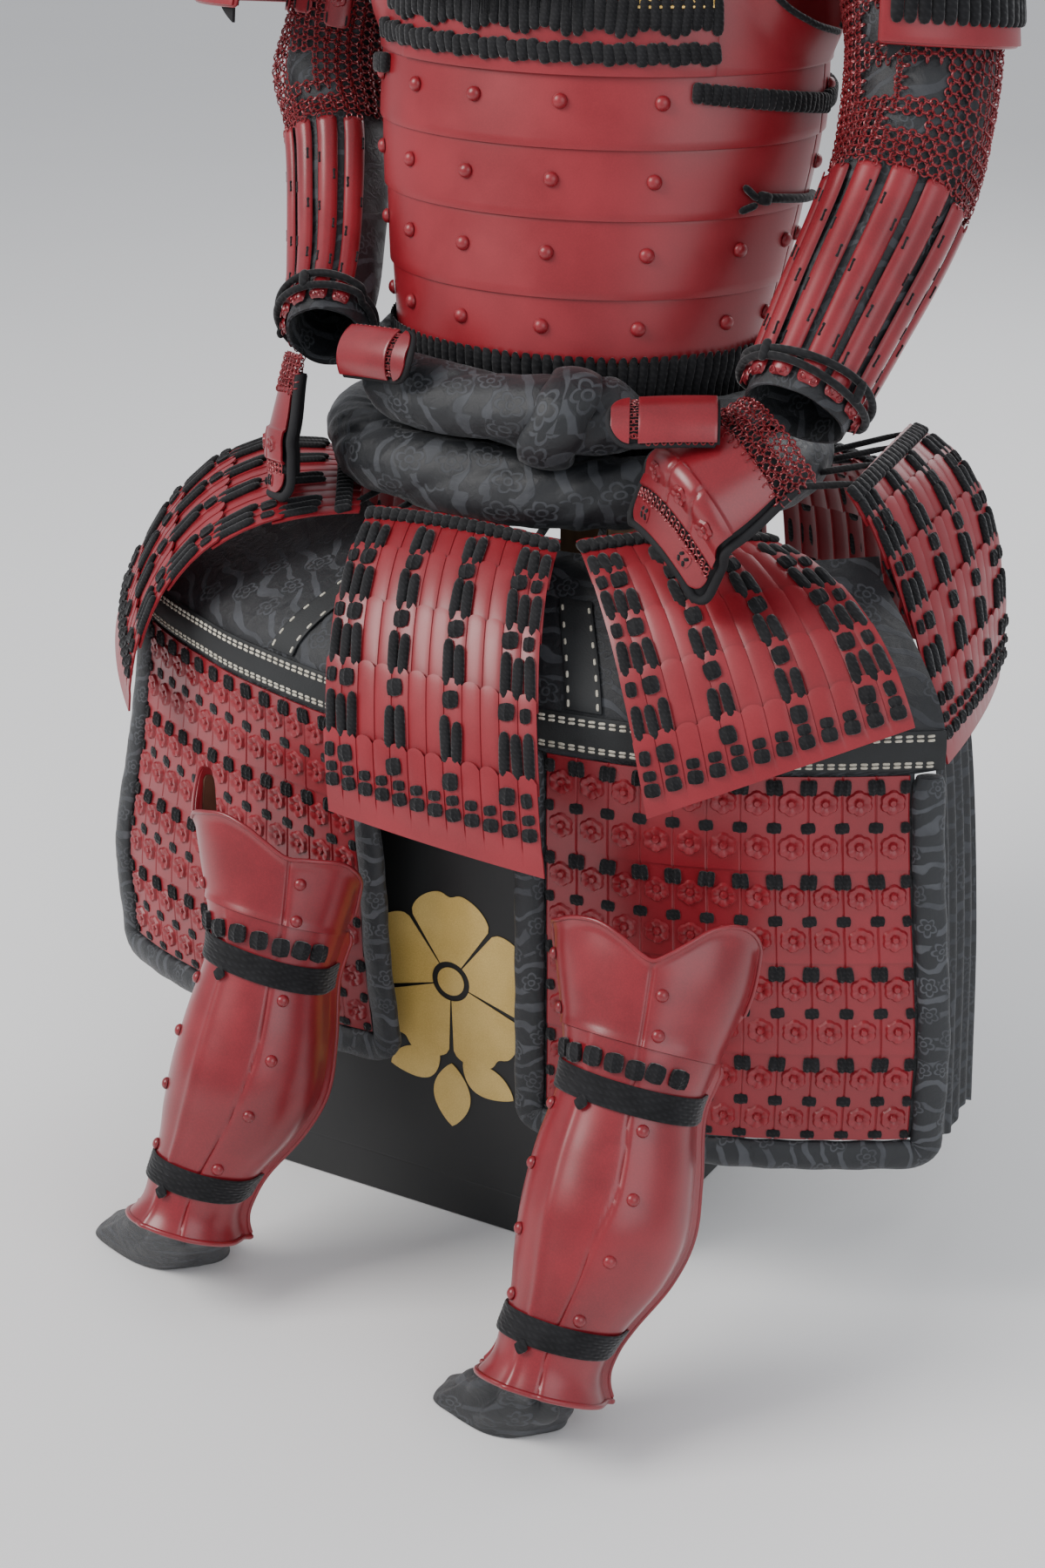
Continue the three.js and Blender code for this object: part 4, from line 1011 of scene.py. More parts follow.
def buildFlaps():
    p = flap
    for name, form in flapForms.items():
        length = sum(float(np.linalg.norm(flapAt(form, 0.5, (k + 1) / 20) - flapAt(form, 0.5, k / 20)))
                     for k in range(20))
        wide = float(np.linalg.norm(flapAt(form, 1, 0.6) - flapAt(form, 0, 0.6)))
        perMm = 1 / length
        narrow = min(1.0, wide / 165)

        def liftAt(k, v):
            return p["base"] + p["step"] * (1 - min(1, max(0, (v - k / 5) * 5)))
        lames = []
        for k in range(5):
            low = (k + 1) / 5 + (p["overlap"] * perMm if k < 4 else 0)

            def lameAt(u, v, k=k, low=low):
                part = min(1.0, max(0.0, u * p["scales"] % 1.0))
                ridge = 0.75 * math.sin(math.pi * part) ** 0.5 + 0.7 * part
                rise = p["scallop"] * math.sin(math.pi * part) ** 0.55 * (1 if k else 0.15)
                start = k / 5 - rise * perMm
                at = start + (low - start) * v
                fade = 1 if k < 4 else 1 - smooth((v - 0.72) / 0.1)
                return flapAt(form, u, at, liftAt(k, at) + ridge * fade)
            us = []
            for i in range(p["scales"]):
                for j in range(p["perScale"]):
                    us.append((i + (j / (p["perScale"] - 1)) * 0.996 + 0.002) / p["scales"])
            lame = layGrid(f"{name}Lame{k}", lameAt, us, [0, 0.04, 0.1, 0.25, 0.5, 0.72, 0.8, 0.9, 1],
                           flip=True)
            thicken(lame, p["wall"])
            lames.append(lame)
        body = joinAll(name + "Lames", lames)
        shade(body, 30)
        complete(body, redLacquer, "red_lacquer", name)

        runs, knots = [], []

        def on(k):
            return lambda u, v: flapAt(form, u, v, liftAt(k, v) + 1.9)
        for k in range(5):
            top = k / 5
            knotV = top + 11 * perMm
            startV = top + (20 if k else 24) * perMm
            endV = (k + 1) / 5 + 3 * perMm
            sides = p["edgeLeft"] + p["edgeRight"]
            pairs = [q + s * 0.026 for q in p["pairs"] for s in (-1, 1)]
            if k < 4:
                for n, u in enumerate(sides + pairs):
                    tall = (endV - startV) / perMm * (0.96 + 0.05 * math.sin(n * 2.3 + k))
                    runs.append(spotOn(on(k), u, endV - tall * perMm / 2, (p["cordWide"] * narrow, tall,
                                                                           6.2), 0.01,
                                       0.01, spin=2.5 * math.sin(n * 1.9 + k * 2), flip=True))
            if k:
                for u, size in ((0.036, p["smallKnot"]), (0.115, p["knot"]), (p["pairs"][0], p["knot"]),
                                (p["pairs"][1], p["knot"]), (0.872, p["knot"]), (0.955, p["smallKnot"])):
                    scaled = (size[0] * narrow, size[1], size[2])
                    knots.append(spotOn(on(k), u, knotV, scaled, 0.01, 0.01, lift=-0.6,
                                        spin=5 * math.sin(u * 30 + k), flip=True))
            if k == 4:
                for i in range(p["scales"]):
                    u = (i + 0.5) / p["scales"]
                    knots.append(spotOn(on(k), u, top + 22 * perMm, (9.5 * narrow, 7.5, 6), 0.01, 0.01,
                                        lift=-0.8,
                                        spin=4 * math.sin(i * 3), flip=True))
                    knots.append(spotOn(on(k), u, top + 30.5 * perMm, (11.5 * narrow, 10, 6.5), 0.01, 0.01,
                                        lift=-0.8, spin=6 * math.sin(i * 2), flip=True))
        for i in range(22):  # braided row under the top edge
            runs.append(spotOn(on(0), (i + 0.5) / 22, 11 * perMm, (9.5 * narrow, 13.5, 6.5), 0.01, 0.01,
                               spin=12 + 6 * math.sin(i), flip=True))
        for u in (0.12, 0.37, 0.63, 0.88):  # hanging cords up to the waist
            foot = flapAt(form, u, 0.012, 2.5)
            angle = math.degrees(math.atan2(foot[0], -(foot[1] - 12)))
            head = torsoAt(angle - 7, 578, 4)
            middle = (foot + head) / 2
            span = head - foot
            tall = float(np.linalg.norm(span)) + 8
            side = unit(np.cross(span, vec(foot[0], foot[1], 0)))
            runs.append((middle, side * 7, unit(span) * tall, np.cross(side, unit(span)) * 5))
        scatter(name + "Cords", models["run"], runs, blackCord, "black_cord")
        scatter(name + "Knots", models["knot"], knots, blackCord, "black_cord")


buildCuirass()
buildChestLacing()
buildShoulderStraps()
print("cuirass ready")
buildWaistLacing()
buildSash()
print("waist ready")
buildFlaps()
print("skirt flaps ready")

# thigh guards: cloth panel, embossed plates, leather belt and strap, rolled border
thigh = {"wall": 3, "inset": 22.4, "plateWall": 1.8, "edge": 26, "top": 437, "bottom": 143, "rows": 4,
         "columns": {"left": 12, "right": 11}, "groove": 0.75, "overlap": 1.3, "flower": 20.5,
         "knot": (12.5, 12, 6),
         "oval": (10.5, 8.5, 5), "stitch": (2.1, 5.4, 1.6), "pace": 8.2, "belt": (469.6, 440.4, 2.6),
         "roll": 11.8, "thick": 6.4, "shift": 2.6, "corner": 12.6, "rollTop": 436, "rollLow": 129.8}


# blossom pressed into a plate, one unit across: boss, hollow, six petals, wavy rim
def flowerModel():
    rings = [(0.1, 0.12, 0.0), (0.155, 0.02, 0.0), (0.3, 0.085, 0.04), (0.425, 0.09, 0.02), (0.5, -0.02, 0.0)]
    deselectAll()
    bpy.ops.mesh.primitive_circle_add(vertices=24, radius=rings[-1][0], fill_type="TRIFAN")
    piece = added("flowerModel")
    points, faces = [(0, 0, 0.09)], []
    for k, (radius, height, petal) in enumerate(rings):
        for i in range(24):
            a = i / 24 * 2 * math.pi
            lobe = abs(math.cos(3 * a))
            wave = 1 - (0.13 * (1 - lobe ** 0.8) if k > 1 else 0)
            points.append((radius * wave * math.cos(a), radius * wave * math.sin(a),
                           height + petal * (2 * lobe - 1)))
    for i in range(24):
        j = (i + 1) % 24
        faces.append((0, 1 + i, 1 + j))
        for k in range(len(rings) - 1):
            a, b = 1 + k * 24, 1 + (k + 1) * 24
            faces.append((a + i, b + i, b + j, a + j))
    piece.data.clear_geometry()
    piece.data.from_pydata(points, [], faces)
    piece.data.update()
    return piece


def thighLift(side, u, z, row):
    p = thigh
    length = thighForms[side]["track"].length
    tall = (p["top"] - p["bottom"]) / p["rows"]
    wide = (length - 2 * p["edge"]) / p["columns"][side]
    across = (u - p["edge"]) / wide
    near = min(across % 1.0, 1 - across % 1.0) * wide
    down = (p["top"] - row * tall - z) / tall
    return 0.3 + p["plateWall"] - p["groove"] * (1 - smooth(near / 1.1)) + p["overlap"] * down


def buildThighs():
    p = thigh
    flower = flowerModel()
    for side, form in thighForms.items():
        length = form["track"].length
        columns = p["columns"][side]
        tall = (p["top"] - p["bottom"]) / p["rows"]
        wide = (length - 2 * p["edge"]) / columns

        def clothAt(u, z):
            inset = 1 if z > 438.5 else p["inset"]
            return thighAt(side, inset + (length - 2 * inset) * u, z, 0.0)
        heights = [142.5, 180, 220, 260, 300, 340, 380, 410, 437, 440, 455, 470, 480, 490, 500, 510, 520,
                   530, 541, 553]
        cloth = layGrid("thighPanel_" + side, clothAt, spread(0, 1, 60), heights)
        thicken(cloth, p["wall"])
        shade(cloth, 60)
        complete(cloth, blackBrocade, "black_brocade", "thigh_cloth_" + side)

        rows = []
        for row in range(p["rows"]):
            z1 = p["top"] - row * tall - (0.4 if row == 0 else 0)
            z0 = p["top"] - (row + 1) * tall

            def rowAt(u, z, row=row):
                return thighAt(side, u, z, thighLift(side, u, z, row))
            us = []
            for k in range(columns):
                start = p["edge"] + k * wide
                us += [start, start + 0.5, start + 1.1, start + 2.4, start + wide / 2, start + wide - 2.4,
                       start + wide - 1.1, start + wide - 0.5]
            us.append(p["edge"] + columns * wide)
            plate = layGrid(f"thighRow{row}_{side}", rowAt, us, spread(z0 + 0.5, z1, 10))
            thicken(plate, p["plateWall"] * 0.7)
            rows.append(plate)
        plates = joinAll("thighPlates_" + side, rows)
        shade(plates, 32)
        complete(plates, redLacquer, "red_lacquer", "thigh_plates_" + side)

        flowers, knots = [], []
        for row in range(p["rows"]):
            z1 = p["top"] - row * tall

            def on(u, z, row=row):
                return thighAt(side, u, z, thighLift(side, u, z, row))
            for k in range(columns):
                u = p["edge"] + (k + 0.5) * wide
                for share in (0.28, 0.74):
                    size = p["flower"] * (1 + 0.02 * math.sin(k * 3 + row))
                    flowers.append(spotOn(on, u, z1 - share * tall, (size, size, size), 3, 3, lift=0.1,
                                          spin=30 + 4 * math.sin(k * 2.3 + row)))
            for k in range(columns + 1):
                u = p["edge"] + k * wide
                ends = k in (0, columns)
                u += 3.5 if k == 0 else -3.5 if k == columns else 0
                size = p["knot"]
                if not ends:
                    for half in (-0.23, 0.23):
                        knots.append(spotOn(on, u + half * size[0], z1 - 8.5,
                                            (size[0] * 0.52, size[1], size[2]), 1, 1,
                                            lift=0.2, spin=7 * math.sin(k * 2 + row + half)))
                else:
                    knots.append(spotOn(on, u, z1 - 8.5, (size[0] * 0.6, size[1] * 0.85, size[2]), 1, 1,
                                        lift=0.2))
                oval = p["oval"]
                narrow = 0.6 if ends else 1.0
                knots.append(spotOn(on, u, z1 - 0.54 * tall, (oval[0] * narrow, oval[1], oval[2]), 1, 1,
                                    lift=0.2,
                                    spin=6 * math.sin(k * 1.7 + row)))
                if row == p["rows"] - 1:
                    knots.append(spotOn(on, u, z1 - 0.93 * tall, (oval[0] * narrow, oval[1] * 0.8, oval[2]),
                                        1, 1,
                                        lift=0.2))
        scatter("thighFlowers_" + side, flower, flowers, redLacquer, "red_lacquer")
        scatter("thighKnots_" + side, models["knot"], knots, blackCord, "black_cord")

        # belt and strap with cream stitches
        top, low, wall = p["belt"]
        belt = layGrid("thighBelt_" + side, lambda u, z: thighAt(side, u, z,
                                                                 0.4 + wall - 0.5 * abs((z - 455) / 15) ** 4),
                       spread(0.5, length - 0.5, 60), spread(low, top, 10))
        thicken(belt, wall - 0.4)
        roundEdges(belt, 0.6)
        shade(belt)
        complete(belt, blackLeather, "black_leather", "thigh_belt_" + side)
        centre = form["strap"] * length

        def strapAt(u, z):
            spot = thighAt(side, centre + u, z, 2.2)
            return spot
        strap = layGrid("thighStrap_" + side, strapAt, spread(-15, 15, 8), spread(472, 530, 14))
        thicken(strap, 1.9)
        roundEdges(strap, 0.5)
        shade(strap)
        complete(strap, blackLeather, "black_leather", "thigh_strap_" + side)
        stitches = []
        for z, lift in ((low + 3.4, 3), (low + 6.2, 3), (top - 6.2, 3), (top - 3.4, 3)):
            for k in range(int((length - 8) / p["pace"])):
                spot = spotOn(lambda u, v: thighAt(side, u, v, 2.9), 6 + k * p["pace"], z, p["stitch"], 1, 1,
                              spin=90 + 3 * math.sin(k * 2.7))
                stitches.append(spot)
        for u in (-12, 12):
            for k in range(7):
                stitches.append(spotOn(lambda a, v: thighAt(side, a, v, 2.2), centre + u, 476 + k * p["pace"],
                                       p["stitch"], 1, 1))
        scatter("thighStitches_" + side, models["run"], stitches, creamThread, "black_leather")

        # rolled border along both sides and the bottom
        e, turnR, low = p["roll"], p["corner"], p["rollLow"]
        stations = [(e, z, 1, 0) for z in spread(p["rollTop"], low + turnR, 44)]
        for a in range(12, 90, 13):
            c, s = math.cos(math.radians(a)), math.sin(math.radians(a))
            stations.append((e + turnR * (1 - c), low + turnR * (1 - s), c, s))
        stations += [(u, low, 0, 1) for u in spread(e + turnR, length - e - turnR, 60)]
        for a in range(78, 0, -13):
            c, s = math.cos(math.radians(a)), math.sin(math.radians(a))
            stations.append((length - e - turnR * (1 - c), low + turnR * (1 - s), -c, s))
        stations += [(length - e, z, -1, 0) for z in spread(low + turnR, p["rollTop"], 44)]
        frames = []
        for u, z, nu, nz in stations:
            at = thighAt(side, u, z)
            inward = unit(thighAt(side, u + nu, z + nz) - at)
            back = unit(np.cross(thighAt(side, u + 0.5, z) - thighAt(side, u - 0.5, z), vec(0, 0, -1)))
            frames.append((at, inward, back))

        def rollAt(k, v):
            at, inward, back = frames[k]
            t = v * 2 * math.pi
            pucker = 1 + 0.035 * math.sin(k * 1.9 + 2 * math.sin(k * 0.37)) * math.sin(t) ** 2
            pucker += 0.03 * math.sin(k * 0.9 + 3 * math.cos(t))
            end = 0.82 if k in (0, len(frames) - 1) else 1.0
            return (at + inward * e * 1.02 * math.cos(t) * pucker * end
                    + back * (p["thick"] * 1.06 * math.sin(t) * pucker * end - p["shift"]))
        roll = layGrid("thighRoll_" + side, rollAt, list(range(len(frames))), spread(0, 1, 20), ring=True)
        pick(roll)
        bpy.ops.object.mode_set(mode="EDIT")
        bpy.ops.mesh.select_all(action="SELECT")
        bpy.ops.mesh.fill_holes(sides=30)
        bpy.ops.object.mode_set(mode="OBJECT")
        weld(roll, 0.00002, normals=True)
        shade(roll, 70)
        complete(roll, quiltBrocade, "black_brocade", "thigh_border_" + side)
    cutAway(flower)


# shin guards: knee plate, shin plate, straps, knots, rivets and the cloth inside
shin = {"wall": 2.4, "half": 128, "length": 312, "kneeEnd": 60, "plateStart": 60.4, "rim": 1.7,
        "rivet": (9.6, 9.6, 7.5),
        "straps": {"Upper": (85, 105), "Lower": (260, 281)}, "strapWall": 2.0, "ribs": 8, "flange": 4.2,
        "knot": (13.5, 14, 7.5)}
shinMarks = {
    "left": {"knee": [[0, 20], [60, 22]], "seam": [[60, 22], [109, 20.5], [157, 19], [193, 15], [250, 12],
                                                   [312, 15]],
             "ridge": [[60, -27], [312, -27]], "knots": [-64, -38, -16, 4, 23, 41, 60],
             "kneeRivets": [(30, 27), (32, 55), (-70, 50)],
             "rivets": [(34, 115), (32, 160), (27, 205), (27, 254), (-74, 121), (-72, 163), (-69, 205),
                        (-68, 254)]},
    "right": {"knee": [[0, 7], [60, 8]], "seam": [[60, 8], [109, 12], [157, 13.5], [199, 5], [256, 4],
                                                  [312, 9]],
              "ridge": [[60, -31], [199, -33], [247, -28], [312, -20]], "knots": [-64, -46, -26.5, -8.5, 8,
                                                                                  23, 42.5],
              "kneeRivets": [(15.5, 22), (18.5, 50), (-78, 14), (-76, 50)],
              "rivets": [(24.5, 116), (25, 163), (20, 208), (20, 254), (-70, 116), (-66, 160), (-64, 206),
                         (-63, 252)]},
}


def kneeAt(side, u, v, out=0.0):
    start = softRead(legForms[side]["lobes"], u)
    s = start + (shin["kneeEnd"] - start) * v
    return legAt(side, u, s, out)


def creaseDepth(away, width, depth):
    return depth * math.exp(-((away / width) ** 2))


def shinLift(side, u, s):
    marks = shinMarks[side]
    seam = softRead(marks["seam"], s)
    ridge = softRead(marks["ridge"], s)
    lift = -creaseDepth(u - seam, 1.1, 1.3) + 0.7 * smooth((u - seam) / 3) * (1 - smooth((u - seam - 3) / 30))
    lift += creaseDepth(u - ridge, 4.5, 1.5)
    return lift + shin["flange"] * smooth((abs(u) - 116) / 10)


def buildLegs():
    p = shin
    for side, form in legForms.items():
        marks = shinMarks[side]
        lobes = [row[0] for row in form["lobes"]]
        us = sorted(set(spread(lobes[0], lobes[-1], 110) + [marks["knee"][0][1] + k * 0.8 for k in range(-4,
                                                                                                         5)]))

        def kneeOut(u, v):
            start = softRead(form["lobes"], u)
            s = start + (p["kneeEnd"] - start) * v
            seam = softRead(marks["knee"], s)
            away = u - seam
            lift = -creaseDepth(away, 1.3, 1.3) + 0.8 * smooth(away / 2.5) * (1 - smooth((away - 3) / 25))
            return lift + 1.4 * smooth((v - 0.9) / 0.1) + 2.0 * (1 - smooth((s - start) / 7))

        knee = layGrid("kneeBowl_" + side, lambda u, v: kneeAt(side, u, v, kneeOut(u, v)), us,
                       [0, 0.015, 0.03, 0.05, 0.08, 0.12, 0.18, 0.26, 0.36, 0.48, 0.6, 0.72, 0.82, 0.9,
                        0.94, 0.97, 1],
                       flip=True)
        thicken(knee, p["wall"])
        shade(knee, 50)
        complete(knee, plateLacquer, "red_lacquer", "knee_plate_" + side)
        edge = [kneeAt(side, u, 0, 2.0) for u in spread(lobes[0], lobes[-1], 80)]
        tube("kneeRim_" + side, edge, p["rim"], plateLacquer, "red_lacquer")

        ss = sorted(set(spread(p["plateStart"], p["length"], 64)))
        half = p["half"]

        def plateAt(u, s):
            flare = 1.2 * smooth((s - 304) / 8)
            return legAt(side, u, s, shinLift(side, u, s) * (0.3 + 0.7 * smooth((s - 60) / 8)) + flare)
        us = sorted(set(spread(-half, half, 128)))
        plate = layGrid("shinShell_" + side, plateAt, us, ss, flip=True)
        thicken(plate, p["wall"])
        shade(plate, 50)
        complete(plate, plateLacquer, "red_lacquer", "shin_plate_" + side)
        tube("shinRim_" + side, [plateAt(u, p["length"]) for u in spread(-half, half, 60)], 2.1, plateLacquer,
             "red_lacquer")
        for label, sign in (("Outer", -1), ("Inner", 1)):
            tube(f"shinEdge{label}_{side}", [plateAt(sign * half, s) for s in spread(p["plateStart"] + 1,
                                                                                     311, 40)],
                 1.9, plateLacquer, "red_lacquer")

        rivets = [spotOn(lambda u, s: legAt(side, u, s, 0.4), u, s, p["rivet"], flip=True) for u,
                  s in marks["rivets"]]
        rivets += [spotOn(lambda u, s: legAt(side, u, s, 0.6), u, s, p["rivet"], flip=True)
                   for u, s in marks["kneeRivets"]]
        scatter("shinRivets_" + side, models["rivet"], rivets, plateLacquer, "red_lacquer")
        knots = [spotOn(lambda u, s: legAt(side, u, s, 1.6), u, 76 + 0.8 * math.sin(k * 2), p["knot"],
                        spin=5 * math.sin(k * 2.2), flip=True) for k, u in enumerate(marks["knots"])]
        scatter("shinKnots_" + side, models["knot"], knots, blackCord, "black_cord")

        for name, (top, low) in p["straps"].items():
            wide = low - top
            sag = 2.4 if name == "Upper" else 1.2

            def strapAt(u, v):
                s = top + wide * v + sag * math.sin(math.radians(u) * 1.3 + (0.6 if side == "left" else 1.2))
                rib = 0.45 * abs(math.sin(v * math.pi * p["ribs"]))
                return legAt(side, u, s, 2.6 + rib - 0.5 * (2 * v - 1) ** 6)
            strap = layGrid(f"shinStrap{name}_{side}", strapAt, spread(-180, 180, 120),
                            spread(0, 1, 4 * p["ribs"]),
                            ring=True, flip=True)
            thicken(strap, p["strapWall"])
            shade(strap, 60)
            complete(strap, blackBraid, "black_cord", f"shin_strap_{name.lower()}_{side}")
            fold = [spotOn(lambda u, s: legAt(side, u, s, 3.2), -27 if name == "Upper" else -20,
                           low + 2.5 + sag * 0.3,
                           (9, 9, 3.4), spin=45, flip=True)]
            scatter(f"shinStrapFold{name}_{side}", models["knot"], fold, blackBraid, "black_cord")

        def gaiterAt(u, s):
            angle = u * 360
            spot = legAt(side, angle, min(s, 304), -9 - 3 * smooth((s - 285) / 8), False)
            drop = smooth((s - 302) / 52)
            a = math.radians(angle + legRoll)
            low = smooth((s - 296) / 30)
            fold = low * (3.4 * math.sin(7 * a + s * 0.06) + 2.2 * math.sin(12 * a - s * 0.11 + 1))
            fold += low * 2.6 * math.sin(s * 0.28 + 3 * math.sin(a + 0.4))
            if drop > 0:
                x, y, across, along = form["foot"]
                hem = vec(x + (across + 2 * math.sin(5 * a)) * math.sin(a),
                          y - (along + 2 * math.sin(4 * a)) * math.cos(a), 0.6)
                spot = spot * (1 - drop) + hem * drop
            away = unit((spot - vec(*[softRead(form["axis"], min(s, 312), k) for k in (1, 2, 3)])) * vec(1,
                                                                                                         1,
                                                                                                         0.2))
            return spot + away * fold * (1 - 0.6 * drop ** 4) * min(1, 1.4 - drop)
        gaiter = layGrid("gaiterCloth_" + side, gaiterAt, spread(0, 1, 110),
                         spread(78, 290, 12) + spread(294, 354, 36), ring=True, flip=True)
        for q in gaiter.data.vertices:
            q.co.z = max(q.co.z, 0.0006)
        thicken(gaiter, 2.2, even=False)
        for q in gaiter.data.vertices:
            q.co.z = max(q.co.z, 0.0004)
        shade(gaiter, 70)
        complete(gaiter, blackBrocade, "black_brocade", "gaiter_" + side)

        if side == "left":  # the wing's inner face is lined with brown leather
            wing = layGrid("kneeLining_left", lambda u, v: kneeAt(side, u, 0.04 + v * 0.6, -3.0),
                           spread(-130, -96, 12), spread(0, 1, 10))
            thicken(wing, 0.8, 0)
            shade(wing)
            complete(wing, brownLeather, "black_leather")


buildThighs()
print("thigh guards ready")
buildLegs()
print("shin guards ready")

# sleeves: brocade shell, mail, splints, wrist cords, upper plates
sleeve = {"wall": 2.0, "pitch": 8.7, "ring": (5.5, 5.5, 5.5), "link": (5.6, 4.0, 5.0), "splints": 7,
          "half": 105,
          "splintHalf": 11.4, "splintRise": 5.0, "end": 0.985, "cord": 2.9, "strap": (0.948, 0.968),
          "stitch": (1.5, 8.5, 1.4), "plateHalf": 13, "flower": 15}
# openings in the mail: angle, station, half width in degrees, half height in stations
armMarks = {
    "right": {"mailEnd": 0.592, "starts": [0.612, 0.604, 0.6, 0.594, 0.592, 0.602, 0.61], "upperEnd": 0.212,
              "windows": [(-47, 0.335, 13, 0.026), (-44, 0.44, 14, 0.026), (-4, 0.432, 13, 0.026),
                          (-16, 0.512, 14, 0.01)]},
    "left": {"mailEnd": 0.572, "starts": [0.585, 0.575, 0.57, 0.574, 0.58, 0.585, 0.59], "upperEnd": 0.385,
             "windows": [(43, 0.468, 17, 0.02), (58, 0.522, 24, 0.009)]},
}


def inWindow(side, angle, t, margin=0.0):
    for centre, station, wide, tall in armMarks[side]["windows"]:
        if abs(angle - centre) < wide - margin and abs(t - station) < tall:
            return True
    return False


def sleeveCreases(side, angle, t):
    a = math.radians(angle)
    phase = 0.7 if side == "left" else 2.1
    elbow = math.exp(-(((t - 0.47) / 0.12) ** 2))
    crease = 0.9 * math.sin(38 * t + 2.2 * math.sin(a + phase)) * elbow
    crease += 0.5 * math.sin(3 * a + 26 * t + phase) + 0.35 * math.sin(7 * a - 31 * t)
    puff = sum(2.6 * math.exp(-(((angle - c) / w) ** 2 + ((t - s) / h) ** 2)) for c, s, w, h
               in armMarks[side]["windows"])
    return crease + puff


def mailLift(side, angle, t):
    if side == "right":
        return 1.8 + 1.2 * math.sin(5 * math.radians(angle) + 20 * t)
    elbow = 5.5 * math.exp(-(((angle + 12) / 55) ** 2 + ((t - 0.47) / 0.045) ** 2))
    return 1.8 + elbow + math.sin(30 * t + angle / 20)


def buildSleeves():
    p = sleeve
    for side, arm in armForms.items():
        marks = armMarks[side]
        length = arm["track"].length

        def clothAt(u, t):
            return armAt(side, u, t, -0.6 + sleeveCreases(side, u, t))
        cloth = layGrid("sleeveCloth_" + side, clothAt, spread(-180, 180, 96), spread(0, 1, 110), ring=True,
                        flip=True)
        thicken(cloth, p["wall"])
        shade(cloth, 60)
        complete(cloth, blackBrocade, "black_brocade", "sleeve_" + side)

        # mail: flat rings joined by small standing links
        rings, links = [], []
        start, stop = arm["mail"][0], marks["mailEnd"]
        rows = round((stop - start) * length / p["pitch"])
        columns = round(2 * math.pi * 51 * arm["thin"] / p["pitch"])

        def on(u, t):
            return armAt(side, u, t, mailLift(side, u, t))
        for r in range(rows + 1):
            t = start + (stop - start) * r / rows
            for c in range(columns):
                u = -180 + 360 * (c + random.uniform(-0.08, 0.08)) / columns
                jog = random.uniform(-0.001, 0.001)
                if inWindow(side, u, t):
                    continue
                rings.append(spotOn(on, u, t + jog, p["ring"], 2, 0.01, lift=0.4,
                                    spin=random.uniform(0, 40), flip=True))
                for stepU, stepT in ((0.5, 0), (0, 0.5)):
                    if r == rows and stepT:
                        continue
                    mu = u + 360 * stepU / columns
                    mt = t + (stop - start) * stepT / rows
                    if inWindow(side, mu, mt, 3):
                        continue
                    point, x, y, z = spotOn(on, mu, mt, (1, 1, 1), 2, 0.01, lift=0.7, flip=True)
                    lead, cross = (x, y) if stepU else (y, x)
                    tilt = random.uniform(0.35, 0.8)
                    edge = unit(cross * tilt + z)
                    size = p["link"]
                    links.append((point, lead * size[0], edge * size[1], np.cross(lead, edge) * size[2]))
        scatter("mailRings_" + side, models["ring"], rings, ringLacquer, "red_mail")
        mail = scatter("mailLinks_" + side, models["link"], links, ringLacquer, "red_mail")
        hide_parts("elbow_mail_" + side)

        # splints with rounded backs and ends
        splints, stitches, hooks = [], [], []
        for k in range(p["splints"]):
            centre = -p["half"] + 2 * p["half"] * (k + 0.5) / p["splints"]
            begin = marks["starts"][k]

            def splintAt(u, v, centre=centre, begin=begin):
                end = p["end"] - begin
                t = begin + end * v
                near = min(v, 1 - v) * end * length
                slim = math.sqrt(max(0.02, 1 - max(0, 1 - near / 4.5) ** 2))
                angle = centre + p["splintHalf"] * u * (0.6 + 0.4 * slim)
                dome = math.sqrt(max(0, 1 - (u * 0.97) ** 2))
                return armAt(side, angle, t, 0.8 + p["splintRise"] * dome * slim)
            vs = sorted(set([0, 0.004, 0.01, 0.02, 0.04] + spread(0.08, 0.92, 26) + [0.96, 0.98, 0.99,
                                                                                     0.996, 1]))
            us = [math.sin(math.radians(a)) for a in range(-90, 91, 12)]
            splint = layGrid(f"splint{k}_{side}", splintAt, us, vs, flip=True)
            thicken(splint, 1.6)
            splints.append(splint)
            for n in (-1, 1):
                hooks.append(spotOn(lambda u, t: armAt(side, u, t, 5.2), centre + n * 5.5, begin + 0.004,
                                    (4.2, 5.6, 4.4), 2, 0.01, spin=20 * n, flip=True))
                hooks.append(spotOn(lambda u, t: armAt(side, u, t, 5.0), centre + n * 5.5, p["end"] - 0.004,
                                    (4.2, 5.6, 4.4), 2, 0.01, spin=-20 * n, flip=True))
        for k in range(p["splints"] + 1):
            gapAngle = -p["half"] + 2 * p["half"] * k / p["splints"]
            stations = [0.66, 0.775, 0.89] if k % 2 else [0.715, 0.83, 0.915]
            for n, edge in ((-1, -7.2), (1, 7.2)):
                if (k == 0 and n < 0) or (k == p["splints"] and n > 0):
                    continue
                for t in stations:
                    here = t + 0.008 * n + 0.006 * math.sin(k * 5 + t * 40)
                    spin = 6 * math.sin(k * 3 + t * 30)

                    def onSplint(u, v):
                        return armAt(side, u, v, 4.7)
                    stitches.append(spotOn(onSplint, gapAngle + edge, here, p["stitch"], 1, 0.01, spin=spin,
                                           flip=True))
                    for tip in (-1, 1):
                        stitches.append(spotOn(onSplint, gapAngle + edge, here + tip * 4 / length,
                                               (2.2, 2.2, 1.6), 1,
                                               0.01, spin=spin, flip=True))
        body = joinAll("splints_" + side, splints)
        shade(body, 50)
        complete(body, plateLacquer, "red_lacquer", "forearm_guard_" + side)
        scatter("splintStitches_" + side, models["run"], stitches, blackCord, "black_cord")
        scatter("splintHooks_" + side, models["link"], hooks, ringLacquer, "red_mail")

